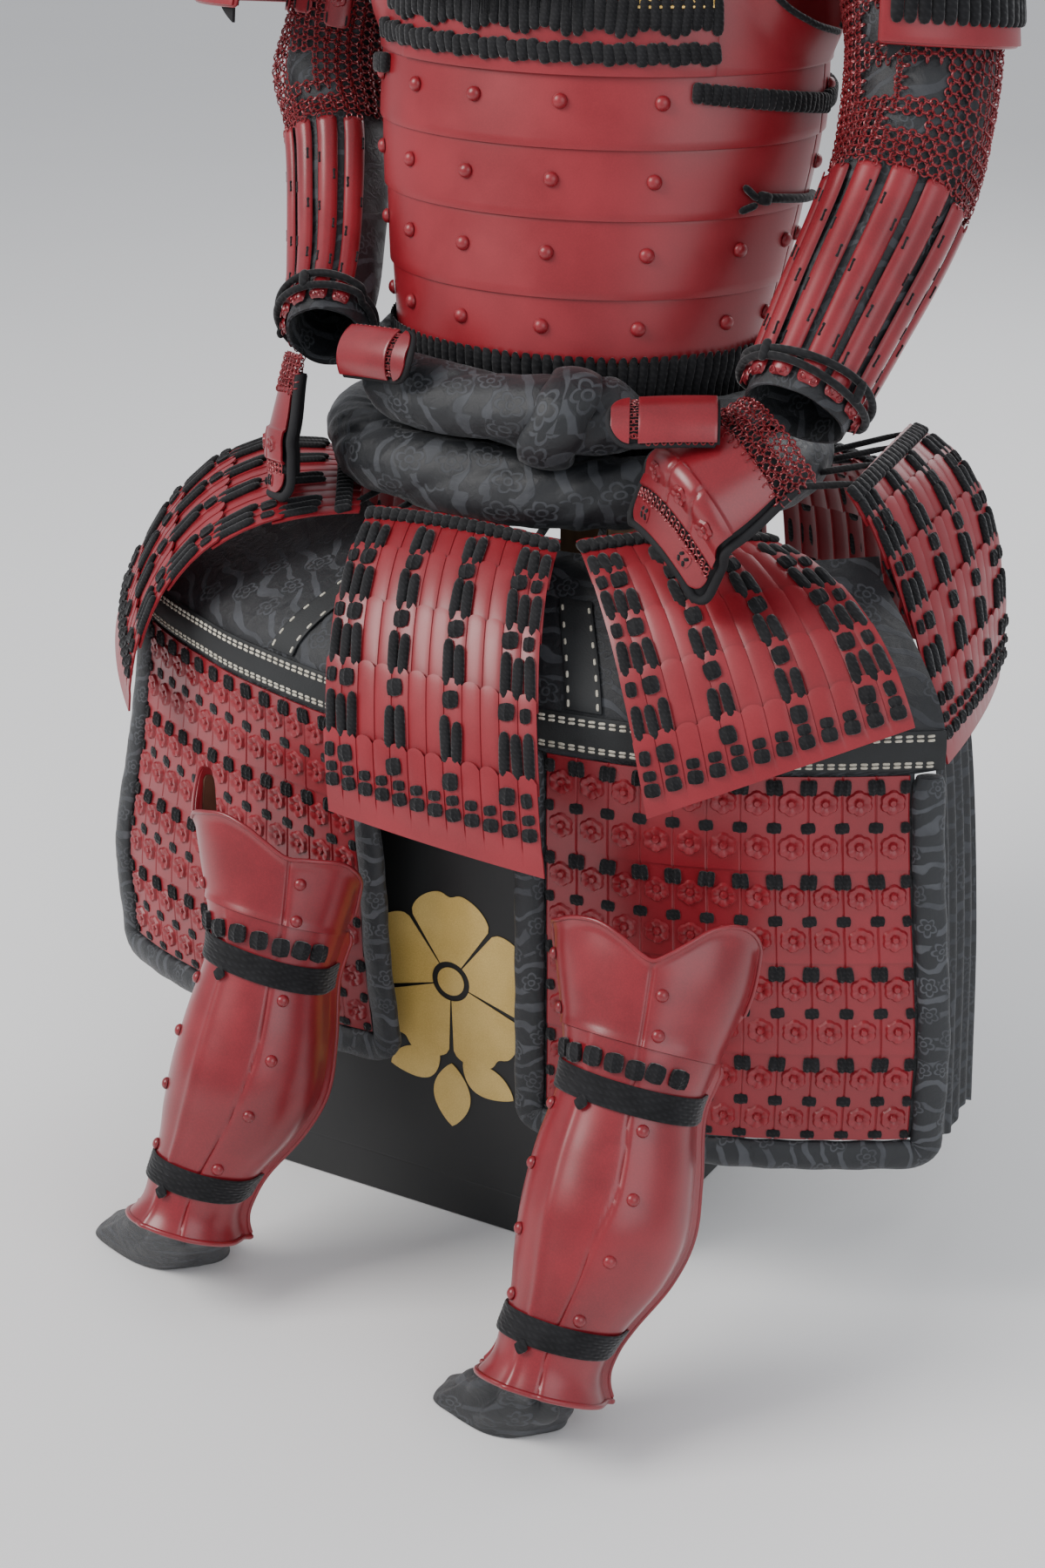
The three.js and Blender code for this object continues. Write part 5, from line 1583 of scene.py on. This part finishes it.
        # two cords round the wrist, tied together twice
        def cordOut(angle):
            return 3.2 + 5.6 * (1 - smooth((abs(angle) - p["half"] - 2) / 14))
        for n, t in enumerate(p["strap"]):
            wobble = 0.004 * (1 if n else -1)
            loop = [armAt(side, a, t + wobble * math.sin(math.radians(a) * 2),
                          cordOut(a)) for a in range(-180, 180, 4)]
            tube(f"wristCord{n}_{side}", loop, p["cord"], blackBraid, "black_cord", sides=10,
                              closed=True)
        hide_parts("wrist_strap_" + side)
        ties = [spotOn(lambda u, t: armAt(side, u, t, cordOut(u) + 2.2), a, sum(p["strap"]) / 2,
                       (8, 17, 5.4), 2, 0.01,
                       spin=8, flip=True) for a in (-45, 45)]
        scatter("wristTies_" + side, models["run"], ties, blackBraid, "black_cord")

        # upper arm plates, each pressed with a blossom
        plates, marksOn, stitches = [], [], []
        flower = flowerModel()
        for centre in (-80, -40, 0, 40, 80):
            begin, end = arm["upper"][0], marks["upperEnd"] + (0.016 if centre > 40 else 0)

            def plateAt(u, v, centre=centre, begin=begin, end=end):
                near = min(v, 1 - v) * (end - begin) * length
                slim = 1 - 0.35 * (1 - math.sqrt(max(0, 1 - max(0, 1 - near / 7) ** 2)))
                t = begin + (end - begin) * v
                return armAt(side, centre + p["plateHalf"] * u * slim, t, 4.6 + 1.2 * (1 - u * u))
            plate = layGrid(f"armPlate{centre}_{side}", plateAt, spread(-1, 1, 10),
                            sorted(set([0, 0.02, 0.05] + spread(0.1, 0.9, 14) + [0.93, 0.95, 0.97, 0.985,
                                                                                 1])), flip=True)
            thicken(plate, 1.8)
            roundEdges(plate, 0.4)
            plates.append(plate)
            for v in (0.45, 0.82):
                size = p["flower"]
                marksOn.append(spotOn(plateAt, 0, v, (size, size, size), 0.1, 0.02, spin=20, flip=True))
            for v in (0.3, 0.62, 0.95):
                for n in (-1, 1):
                    stitches.append(spotOn(plateAt, n * 0.72, v, p["stitch"], 0.1, 0.02, lift=0.3, flip=True))
        body = joinAll("upperArmPlates_" + side, plates)
        shade(body, 40)
        complete(body, plateLacquer, "red_lacquer", "upper_arm_guard_" + side)
        scatter("upperArmFlowers_" + side, flower, marksOn, plateLacquer, "red_lacquer")
        scatter("upperArmStitches_" + side, models["run"], stitches, blackCord, "black_cord")
        cutAway(flower)


# hands: padded lining with a rolled edge, back plate with knuckle squares, finger plate, thumb plate
handPiece = {"half": 50, "plateHalf": 43, "start": 8, "plate": (22, 89), "fingers": (97, 117),
             "lining": 121, "round": 20,
             "base": 2.9, "squares": (57, 86), "seams": (-11, 14), "edge": 3.4, "flower": 15, "wall": 1.8}


def handHalf(v, most):
    p = handPiece
    past = max(0, v - (p["lining"] - p["round"])) / p["round"]
    return most - p["round"] * 0.9 * (1 - math.sqrt(max(0, 1 - min(1, past) ** 2)))


def buildHands():
    p = handPiece
    for side, arm in armForms.items():
        size = arm["hand"]["size"]

        def liningAt(u, v):
            half = handHalf(v, p["half"])
            return handAt(side, u * half, v, 0.3 * math.sin(v * 0.4))
        vs = spread(p["start"], p["lining"] - 0.2, 44)
        lining = layGrid("handLining_" + side, liningAt, spread(-1, 1, 24), vs, flip=True)
        thicken(lining, 2.4)
        shade(lining, 60)
        complete(lining, blackLining, "black_leather", "hand_lining_" + side)
        edge = [handAt(side, -handHalf(v, p["half"]), v, 1.2) for v in spread(p["start"], p["lining"] - 1,
                                                                              26)]
        edge += [handAt(side, u * handHalf(p["lining"] - 1, p["half"]), p["lining"] - 1, 1.2)
                 for u in spread(-0.9, 0.9, 10)]
        edge += [handAt(side, handHalf(v, p["half"]), v, 1.2) for v in spread(p["lining"] - 1, p["start"],
                                                                              26)]
        tube("handEdge_" + side, edge, p["edge"], blackLining, "black_leather", sides=10)

        low, high = p["squares"]

        def plateAt(u, v):
            half = p["plateHalf"]
            raised = smooth((v - low) / 2) * (1 - smooth((v - high) / 3))
            seam = max(creaseDepth(u * half - s - (v - 70) * 0.25, 1.2, 1.6) for s in p["seams"])
            crown = 1.2 * smooth((v - low) / (high - low)) * raised
            return handAt(side, u * half, v, p["base"] + 1.9 * raised + crown - seam * raised)
        us = sorted(set(spread(-1, 1, 60)))
        back = layGrid("handBack_" + side, plateAt, us, sorted(set(spread(*p["plate"], 60))), flip=True)
        thicken(back, p["wall"])
        roundEdges(back, 0.5)

        def fingerAt(u, v):
            half = handHalf(v + 3, p["plateHalf"])
            return handAt(side, u * half, v, p["base"] + 0.6)
        fingers = layGrid("handFingers_" + side, fingerAt, spread(-1, 1, 30), spread(*p["fingers"], 16),
                          flip=True)
        thicken(fingers, p["wall"])
        roundEdges(fingers, 0.5)
        body = joinAll("handPlates_" + side, [back, fingers])
        shade(body, 45)
        complete(body, plateLacquer, "red_lacquer", "hand_plate_" + side)

        flower = flowerModel()
        spots = [spotOn(plateAt, u, 71, (p["flower"] * size,) * 3, 0.02, 1, lift=-0.2, spin=20, flip=True)
                 for u in (-0.6, 0.06, 0.66)]
        scatter("handFlowers_" + side, flower, spots, plateLacquer, "red_lacquer")
        cutAway(flower)

        pads, holes = [], []
        for u in (-0.55, 0.5):
            pads.append(spotOn(fingerAt, u, 106, (12 * size, 12 * size, 1.6), 0.05, 1, flip=True))
            for du in (-0.055, 0.055):
                for dv in (-2.4, 2.4):
                    holes.append(spotOn(fingerAt, u + du, 106 + dv, (2.6, 4.6, 1.8), 0.05, 1, lift=0.7,
                                        spin=35 * (1 if dv > 0 else -1), flip=True))
        scatter("handPads_" + side, models["knot"], pads, plateLacquer, "red_lacquer")
        scatter("handPadCords_" + side, models["run"], holes, blackCord, "black_cord")

        # rings: between knuckles and fingers, along the thumb, and the wrist mail
        rings = []
        for k in range(16):
            u = -0.92 + 1.84 * k / 15
            for v in (91.5, 95.5):
                rings.append(spotOn(lambda a, b: handAt(side, a * p["plateHalf"], b, 3.6), u,
                                    v + random.uniform(-1, 1),
                                    (4.0, 5.2, 4.2), 0.05, 1, spin=random.uniform(-40, 40), flip=True))
        columns, rows = 15, 5
        for r in range(rows):
            for c in range(columns):
                u = -47 + 94 * c / (columns - 1) + random.uniform(-0.7, 0.7)
                v = -4 + 25.5 * r / (rows - 1) + random.uniform(-0.7, 0.7)
                rings.append(spotOn(lambda a, b: handAt(side, a, b, 2.6), u, v, (4.9, 4.9, 4.6), 1, 1,
                                    spin=random.uniform(0, 60), flip=True))
                point, x, y, z = spotOn(lambda a, b: handAt(side, a, b, 3.0), u + 3.3, v, (1, 1, 1), 1, 1,
                                        flip=True)
                tilt = unit(z + y * random.uniform(-0.9, 0.9))
                rings.append((point, x * 4.6, tilt * 3.6, np.cross(x, tilt) * 4.4))
                point, x, y, z = spotOn(lambda a, b: handAt(side, a, b, 3.0), u, v + 3.1, (1, 1, 1), 1, 1,
                                        flip=True)
                tilt = unit(z + x * random.uniform(-0.9, 0.9))
                rings.append((point, y * 4.6, tilt * 3.6, np.cross(y, tilt) * 4.4))
        mail = scatter("wristMailRings_" + side, models["link"], rings, ringLacquer, "red_mail")
        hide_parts("wrist_mail_" + side)

        # thumb: two plates with a linked gap and a rolled edge
        def thumbOut(u, v, most=20):
            tip = max(0, (v - 56) / 18)
            return u * most * math.sqrt(max(0.05, 1 - min(1, tip) ** 2.2))
        plates = []
        for label, start, end in (("Root", 0, 54), ("Tip", 60, 73)):
            plate = layGrid(f"thumb{label}_{side}", lambda u, v: thumbAt(side, thumbOut(u, v), v, 0.6),
                            spread(-1, 1, 20),
                            spread(start, end, 22))
            plates.append(plate)
        for plate in plates:
            thicken(plate, p["wall"])
            roundEdges(plate, 0.4)
        body = joinAll("thumbPlates_" + side, plates)
        shade(body, 45)
        complete(body, plateLacquer, "red_lacquer", "thumb_plate_" + side)
        lining = layGrid("thumbLining_" + side, lambda u, v: thumbAt(side, thumbOut(u, v, 22), v, -2.2),
                         spread(-1, 1, 16),
                         spread(-2, 74.5, 22))
        thicken(lining, 1.4)
        shade(lining, 60)
        complete(lining, blackLining, "black_leather")
        rim = [thumbAt(side, thumbOut(-1, v, 22), v, -1.6) for v in spread(0, 74, 20)]
        rim += [thumbAt(side, thumbOut(1, v, 22), v, -1.6) for v in spread(74, 0, 20)]
        tube("thumbEdge_" + side, rim, 2.6, blackLining, "black_leather", sides=10)
        rings = []
        for k in range(7):
            for v in (55.5, 58.5):
                rings.append(spotOn(lambda a, b: thumbAt(side, a, b, 1.0), -15 + 5 * k,
                                    v + random.uniform(-0.8, 0.8),
                                    (3.2, 4.8, 3.6), 1, 1, spin=random.uniform(-30, 30)))
        for k in range(9):
            rings.append(spotOn(lambda a, b: thumbAt(side, a, b, 1.0), 19.5, 4 + 5.4 * k, (4.6, 3.4, 3.6),
                                1, 1,
                                spin=random.uniform(-30, 30)))
        scatter("thumbRings_" + side, models["link"], rings, ringLacquer, "red_mail")


buildSleeves()
print("sleeves ready")
buildHands()
print("hands ready")

# shoulder guards: four laced lames with a black lining and corner tips
guard = {"lames": 4, "wall": 2.0, "base": 2.2, "step": 3.0, "blocks": 22, "from": -76, "to": 70}


def buildShoulderGuards():
    p = guard
    for side, (sign, base, more, fall) in guardForms.items():
        flip = sign > 0

        def at(u, v, out):
            return shoulderAt(side, u, v, out)

        def liftOn(k, v):
            return p["base"] + p["step"] * (v * p["lames"] - k)
        lames = []
        for k in range(p["lames"]):
            lame = layGrid(f"guardLame{k}_{side}", lambda u, v, k=k: at(u, v, liftOn(k, v)),
                           spread(p["from"], p["to"], 60), spread(k / 4,
                                                                  (k + 1) / 4 + (0.02 if k < 3 else 0), 8),
                           flip=flip)
            thicken(lame, p["wall"])
            roundEdges(lame, 0.5)
            lames.append(lame)
        body = joinAll("guardLames_" + side, lames)
        shade(body, 40)
        complete(body, redLacquer, "red_lacquer", "shoulder_guard_" + side)

        blocks = []
        for k in range(p["lames"]):
            for n in range(p["blocks"]):
                u = p["from"] + 4 + (p["to"] - p["from"] - 8) * (n + 0.5) / p["blocks"]
                middle = (k + (0.42 if k == 3 else 0.5)) / p["lames"]
                tall = fall / p["lames"] * (0.58 if k == 3 else 0.86)
                blocks.append(spotOn(lambda a, b, k=k: at(a, b, liftOn(k, b) + 1.2), u, middle,
                                     (9.4, tall, 6.5), 1, 0.01,
                                     spin=2 * math.sin(n * 2 + k), flip=flip))
        scatter("guardLacing_" + side, models["run"], blocks, blackBraid, "black_cord")

        lining = layGrid("guardLining_" + side, lambda u, v: at(u, v, -1.0), spread(p["from"], p["to"], 50),
                         spread(0, 1, 20), flip=flip)
        thicken(lining, 1.2)
        shade(lining, 60)
        complete(lining, blackLining, "black_leather")
        rim = [at(p["from"], v, 1.0) for v in spread(0, 1, 20)] + [at(u, 1, 1.0) for u in spread(p["from"],
                                                                                                 p["to"], 40)]
        rim += [at(p["to"], v, 1.0) for v in spread(1, 0, 20)]
        tube("guardRim_" + side, rim, 2.0, redLacquer, "red_lacquer")
        tips = []
        for end in (p["from"], p["to"]):
            tip = layGrid(f"guardTip{end}_{side}", lambda u, v, end=end: at(
                end + (3 if end < 0 else -3) + u * (11 if end < 0 else -11),
                                                                            1 + 0.09 * v * (1 - u) ** 0.7 - 0.02,
                -2.5 - 2 * v), spread(0, 1, 12), spread(0, 1, 8), flip=(flip == (end < 0)))
            thicken(tip, 2.6, 0)
            roundEdges(tip, 0.8)
            tips.append(tip)
        tip = joinAll("guardTips_" + side, tips)
        shade(tip, 50)
        complete(tip, blackLining, "black_leather")


# plaque of openwork scrolls within a rim
plaque = {"left": 22.6, "right": 41.4, "low": 937.5, "high": 980.5, "lift": 5.3, "rim": 1.5, "stem": 0.95}


def buildPlaque():
    p = plaque

    def on(u, z):
        return torsoAt(u, z, p["lift"])
    corners = [(p["left"], p["low"]), (p["right"], p["low"]), (p["right"], p["high"]), (p["left"], p["high"])]
    rim = []
    for k, (u, z) in enumerate(corners):
        nextU, nextZ = corners[(k + 1) % 4]
        rim += [on(u + (nextU - u) * n / 14, z + (nextZ - z) * n / 14) for n in range(14)]
    frameRim = tube("plaqueRim", rim, p["rim"], goldMetal, "gold_metal", sides=6, closed=True)
    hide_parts("chest_plaque")
    middleU, middleZ = (p["left"] + p["right"]) / 2, (p["low"] + p["high"]) / 2
    perMm = (p["right"] - p["left"]) / 56
    scrolls = []
    for n, (x, z, r, way, start) in enumerate([(-17, 9, 10.5, 1, 200), (2, 10, 10, -1, 320),
                                               (19, 8, 9.5, 1, 60),
                                              (-16, -11, 9.5, -1, 120), (3, -10, 10.5, 1, 20),
                                               (19, -11, 9, -1, 240)]):
        line = []
        for k in range(22):
            turn = k / 21
            a = math.radians(start + way * 560 * turn)
            radius = r * (1 - 0.86 * turn)
            line.append(on(middleU + (x + radius * math.cos(a)) * perMm, middleZ + z + radius * math.sin(a)))
        scrolls.append(tube(f"plaqueScroll{n}", line, p["stem"], goldMetal, "gold_metal", sides=6))
    leaves = []
    for k in range(26):
        x, z = -24 + 48 * ((k * 0.382) % 1), -17 + 34 * ((k * 0.618) % 1)
        leaves.append(spotOn(on, middleU + x * perMm, middleZ + z, (3.2, 6.5, 2), 0.5, 0.5, spin=k * 47))
    leaves += [spotOn(on, middleU + x * perMm, middleZ + z, (5.5, 5.5, 3), 0.5, 0.5)
               for x, z in ((-17, 9), (2, 10), (19, 8), (-16, -11), (3, -10), (19, -11))]
    scrolls.append(scatter("plaqueLeaves", models["run"], leaves, goldMetal, "gold_metal"))
    work = joinAll("plaqueScrolls", scrolls)
    shade(work, 60)


# hair fringe: long strands that lie over the chest lacing
hair = {"strands": 260, "left": -33, "right": 13, "top": 1050, "low": 926, "wide": 1.5}


def buildHair():
    p = hair
    deselectAll()
    bpy.ops.mesh.primitive_cylinder_add(vertices=5, radius=0.5, depth=1, end_fill_type="TRIFAN")
    strand = added("strandModel")
    bpy.ops.object.mode_set(mode="EDIT")
    bpy.ops.mesh.select_all(action="SELECT")
    for k in range(1, 6):
        bpy.ops.mesh.select_all(action="SELECT")
        bpy.ops.mesh.bisect(plane_co=(0, 0, -0.5 + k / 6), plane_no=(0, 0, 1))
    bpy.ops.object.mode_set(mode="OBJECT")
    for q in strand.data.vertices:
        x, y, z = q.co
        thin = 1 - 0.75 * smooth((-z - 0.1) / 0.4)
        q.co.x, q.co.y, q.co.z = x * thin + 0.9 * math.sin(z * 5), z, -y * thin
    places = []
    for k in range(p["strands"]):
        u = p["left"] + (p["right"] - p["left"]) * ((k * 0.618034) % 1)
        crown = 1 - abs((u - (p["left"] + p["right"]) / 2) / (p["right"] - p["left"])) ** 2
        tall = (p["top"] - p["low"]) * random.uniform(0.78, 0.98) * (0.86 + 0.14 * crown)
        layer = random.uniform(4.6, 11.0)
        top = p["top"] - random.uniform(0, 6)
        places.append(spotOn(lambda a, z, layer=layer: torsoAt(a, z, layer), u, top - tall / 2,
                             (p["wide"] * random.uniform(0.8, 1.5), tall, 1.6), spin=random.uniform(-5, 5)))
    fringe = scatter("hairStrands", strand, places, blackHair, "black_hair")
    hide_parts("hair_fringe")
    root = layGrid("hairRoot", lambda u, z: torsoAt(u, z, 9.5), spread(p["left"] - 1, p["right"] + 1, 20),
                   spread(1036, 1052, 6))
    thicken(root, 6)
    roundEdges(root, 1.5)
    shade(root)
    complete(root, blackCord, "black_hair")
    cutAway(strand)


# armour chest: box and lid with softened edges, a shallow groove near the floor, gilt blossom
chest = {"halfWide": 161, "front": -200, "back": 170, "top": 450, "lid": 16, "wall": 12, "edge": 2.4,
         "grooveZ": 35,
         "groove": 0.6, "motifX": 8, "motifZ": 186, "petal": 46, "leaf": 0.5}


def chestBlock(name, low, high):
    deselectAll()
    bpy.ops.mesh.primitive_cube_add(size=1, location=[(a + b) / 2000 for a, b in zip(low, high)])
    block = added(name)
    bpy.ops.transform.resize(value=[(b - a) / 1000 for a, b in zip(low, high)])
    bpy.ops.object.transform_apply(location=True, rotation=True, scale=True)
    return block


def goldShape(name, outline, lift):
    p = chest
    count = len(outline)
    middle = np.mean([[x, z] for x, z in outline], axis=0)
    points = [(x / 1000, (p["front"] - lift) / 1000, z / 1000) for x, z in outline]
    points.append((middle[0] / 1000, (p["front"] - lift - 0.5) / 1000, middle[1] / 1000))
    mesh = bpy.data.meshes.new(name)
    mesh.from_pydata(points, [], [(k, (k + 1) % count, count) for k in range(count)])
    mesh.update()
    shape = bpy.data.objects.new(name, mesh)
    bpy.context.scene.collection.objects.link(shape)
    weld(shape, 0.00001, normals=True)
    if shape.data.polygons[0].normal.y > 0:
        shape.data.flip_normals()
    thicken(shape, 0.5, 1.0, even=False)
    return shape


def buildChest():
    p = chest
    w = p["halfWide"]
    box = chestBlock("chestBox", (-w, p["front"], 0), (w, p["back"], p["top"] - p["lid"] - 0.3))
    bpy.ops.object.mode_set(mode="EDIT")
    bpy.ops.mesh.select_all(action="SELECT")
    for z in (p["grooveZ"] - 1.2, p["grooveZ"], p["grooveZ"] + 1.2):
        bpy.ops.mesh.select_all(action="SELECT")
        bpy.ops.mesh.bisect(plane_co=(0, 0, z / 1000), plane_no=(0, 0, 1))
    bpy.ops.mesh.select_all(action="DESELECT")
    bpy.ops.object.mode_set(mode="OBJECT")
    for q in box.data.vertices:
        if abs(q.co.z * 1000 - p["grooveZ"]) < 0.2:
            q.co.x -= math.copysign(p["groove"] / 1000, q.co.x)
            q.co.y += p["groove"] / 1000 * (1 if q.co.y < 0 else -1)
    bpy.ops.object.mode_set(mode="EDIT")
    bpy.ops.mesh.select_mode(type="FACE")
    bpy.ops.mesh.select_all(action="DESELECT")
    bpy.ops.object.mode_set(mode="OBJECT")
    for face in box.data.polygons:
        face.select = face.normal.z > 0.9
    bpy.ops.object.mode_set(mode="EDIT")
    bpy.ops.mesh.delete(type="FACE")
    bpy.ops.object.mode_set(mode="OBJECT")
    thicken(box, p["wall"])
    roundEdges(box, p["edge"], 3, 50)
    shade(box, 30)
    complete(box, chestLacquer, "black_lacquer", "chest_box")
    lid = chestBlock("chestLid", (-w, p["front"], p["top"] - p["lid"]), (w, p["back"], p["top"]))
    roundEdges(lid, p["edge"], 3)
    shade(lid, 30)
    complete(lid, chestLacquer, "black_lacquer", "chest_lid")

    # gilt motif: a large five-petalled blossom over three leaves
    cx, cz = p["motifX"], p["motifZ"] + 26
    shapes = []
    for k in range(5):
        middle = math.radians(90 + 72 * k)
        outline = []
        for n in range(33):
            t = n / 32
            a = middle + math.radians(-34 + 68 * t)
            notch = 0.1 * math.exp(-(((t - 0.5) / 0.07) ** 2))
            reach = p["petal"] * (1.32 + 0.36 * math.sin(math.pi * t) ** 0.55 - notch)
            outline.append((cx + reach * math.cos(a), cz + reach * math.sin(a)))
        for n in range(9):
            a = middle + math.radians(34 - 68 * n / 8)
            outline.append((cx + 17 * math.cos(a), cz + 17 * math.sin(a)))
        shapes.append(goldShape(f"giltPetal{k}", outline, p["leaf"]))
    shapes.append(goldShape("giltHeart", [(cx + 12 * math.cos(a), cz + 12 * math.sin(a))
                                          for a in (n / 28 * 2 * math.pi for n in range(28))], p["leaf"]))
    for k, (lean, reach, wide) in enumerate([(-52, 78, 15), (0, 92, 17), (50, 80, 15)]):
        root = np.array([cx, cz - p["petal"] * 1.28])
        a = math.radians(-90 + lean)
        ahead, beside = np.array([math.cos(a), math.sin(a)]), np.array([-math.sin(a), math.cos(a)])
        outline = []
        for n in range(41):
            t = n / 40
            way = 1 if t < 0.5 else -1
            s = 2 * t if t < 0.5 else 2 - 2 * t
            aside = way * wide * math.sin(math.pi * s) ** 0.8 + 12 * (lean / 50) * s * s
            spot = root + ahead * (14 + reach * 0.62 * s) + beside * aside
            outline.append(tuple(spot))
        shapes.append(goldShape(f"giltLeaf{k}", outline[:-1], p["leaf"]))
    motif = joinAll("chestGilt", shapes)
    shade(motif, 30)
    complete(motif, goldLeaf, "black_lacquer")


# a knotted tie at the right opening, held flat against the cuirass at both ends
def buildTies():
    path = [torsoAt(112, 786, 5.2), torsoAt(100, 790, 4.6), torsoAt(88, 793, 4.4), torsoAt(76, 797, 4.4),
            torsoAt(64, 801, 4.6)]
    tube("sideTieRight", path, 3.4, blackBraid, "black_cord", sides=10)
    ends = [spotOn(lambda u, z: torsoAt(u, z, 6), 63.5, 801, (13, 10, 9)),
            spotOn(lambda u, z: torsoAt(u, z, 5), 58.5, 806, (5.5, 17, 5.5), spin=62),
            spotOn(lambda u, z: torsoAt(u, z, 5), 58.8, 795, (5.5, 16, 5.5), spin=118)]
    scatter("sideTieKnot", models["run"], ends, blackBraid, "black_cord")


buildShoulderGuards()
buildPlaque()
buildHair()
print("shoulders ready")
buildChest()
buildTies()
print("chest and ties ready")

# floor, light and camera
stage = {"floor": 60, "sky": (0.93, 0.95, 1.0, 1), "skyPower": 0.64, "lens": 62.8, "sensor": 36,
         "eye": (1.004, -1.814, 1.204), "tilt": 66.5, "turn": 30}


def buildStage():
    deselectAll()
    bpy.ops.mesh.primitive_plane_add(size=stage["floor"], location=(0, 0, -0.0005))
    floor = added("floor")
    material, net, shader = newMaterial("paleFloor", **{"Roughness": 0.9, "Specular IOR Level": 0.1})
    coords = net.add("ShaderNodeTexCoord").outputs["Object"]
    cloud = net.add("ShaderNodeTexNoise", inputs={"Vector": coords, "Scale": 2.0})
    link(net, net.mix(cloud.outputs[0], (0.87, 0.87, 0.87, 1), (0.9, 0.9, 0.9, 1)),
         shader.inputs["Base Color"])
    floor.data.materials.append(material)

    world = bpy.data.worlds.new("paleRoom")
    bpy.context.scene.world = world
    world.use_nodes = True
    world.node_tree.nodes["Background"].inputs[0].default_value = stage["sky"]
    world.node_tree.nodes["Background"].inputs[1].default_value = stage["skyPower"]
    for name, place, aim, size, power, tint in lamps:
        light = bpy.data.lights.new(name, "AREA")
        light.size = size
        light.energy = power
        light.color = tint
        lamp = bpy.data.objects.new(name, light)
        bpy.context.scene.collection.objects.link(lamp)
        lamp.location = place
        direction = np.array(aim) - np.array(place)
        lamp.rotation_mode = "QUATERNION"
        lamp.rotation_quaternion = Vector(direction).to_track_quat("-Z", "Y")

    camera = bpy.data.cameras.new("camera")
    camera.lens = stage["lens"]
    camera.sensor_width = stage["sensor"]
    camera.clip_end = 100
    eye = bpy.data.objects.new("camera", camera)
    bpy.context.scene.collection.objects.link(eye)
    eye.location = stage["eye"]
    eye.rotation_euler = (math.radians(stage["tilt"]), 0, math.radians(stage["turn"]))
    bpy.context.scene.camera = eye


lamps = [
    ("softKey", (-1.7, -2.0, 2.6), (0, -0.1, 0.6), 1.6, 92, (1.0, 0.97, 0.94)),
    ("softFill", (2.4, -1.6, 1.8), (0.1, 0, 0.5), 2.2, 28, (0.95, 0.97, 1.0)),
    ("softBack", (0.5, 2.6, 2.4), (0, 0, 0.6), 2.2, 42, (1.0, 1.0, 1.0)),
]
buildStage()
bpy.context.view_layer.update()
for model in models.values():
    bpy.data.objects.remove(model)
print("stage ready")
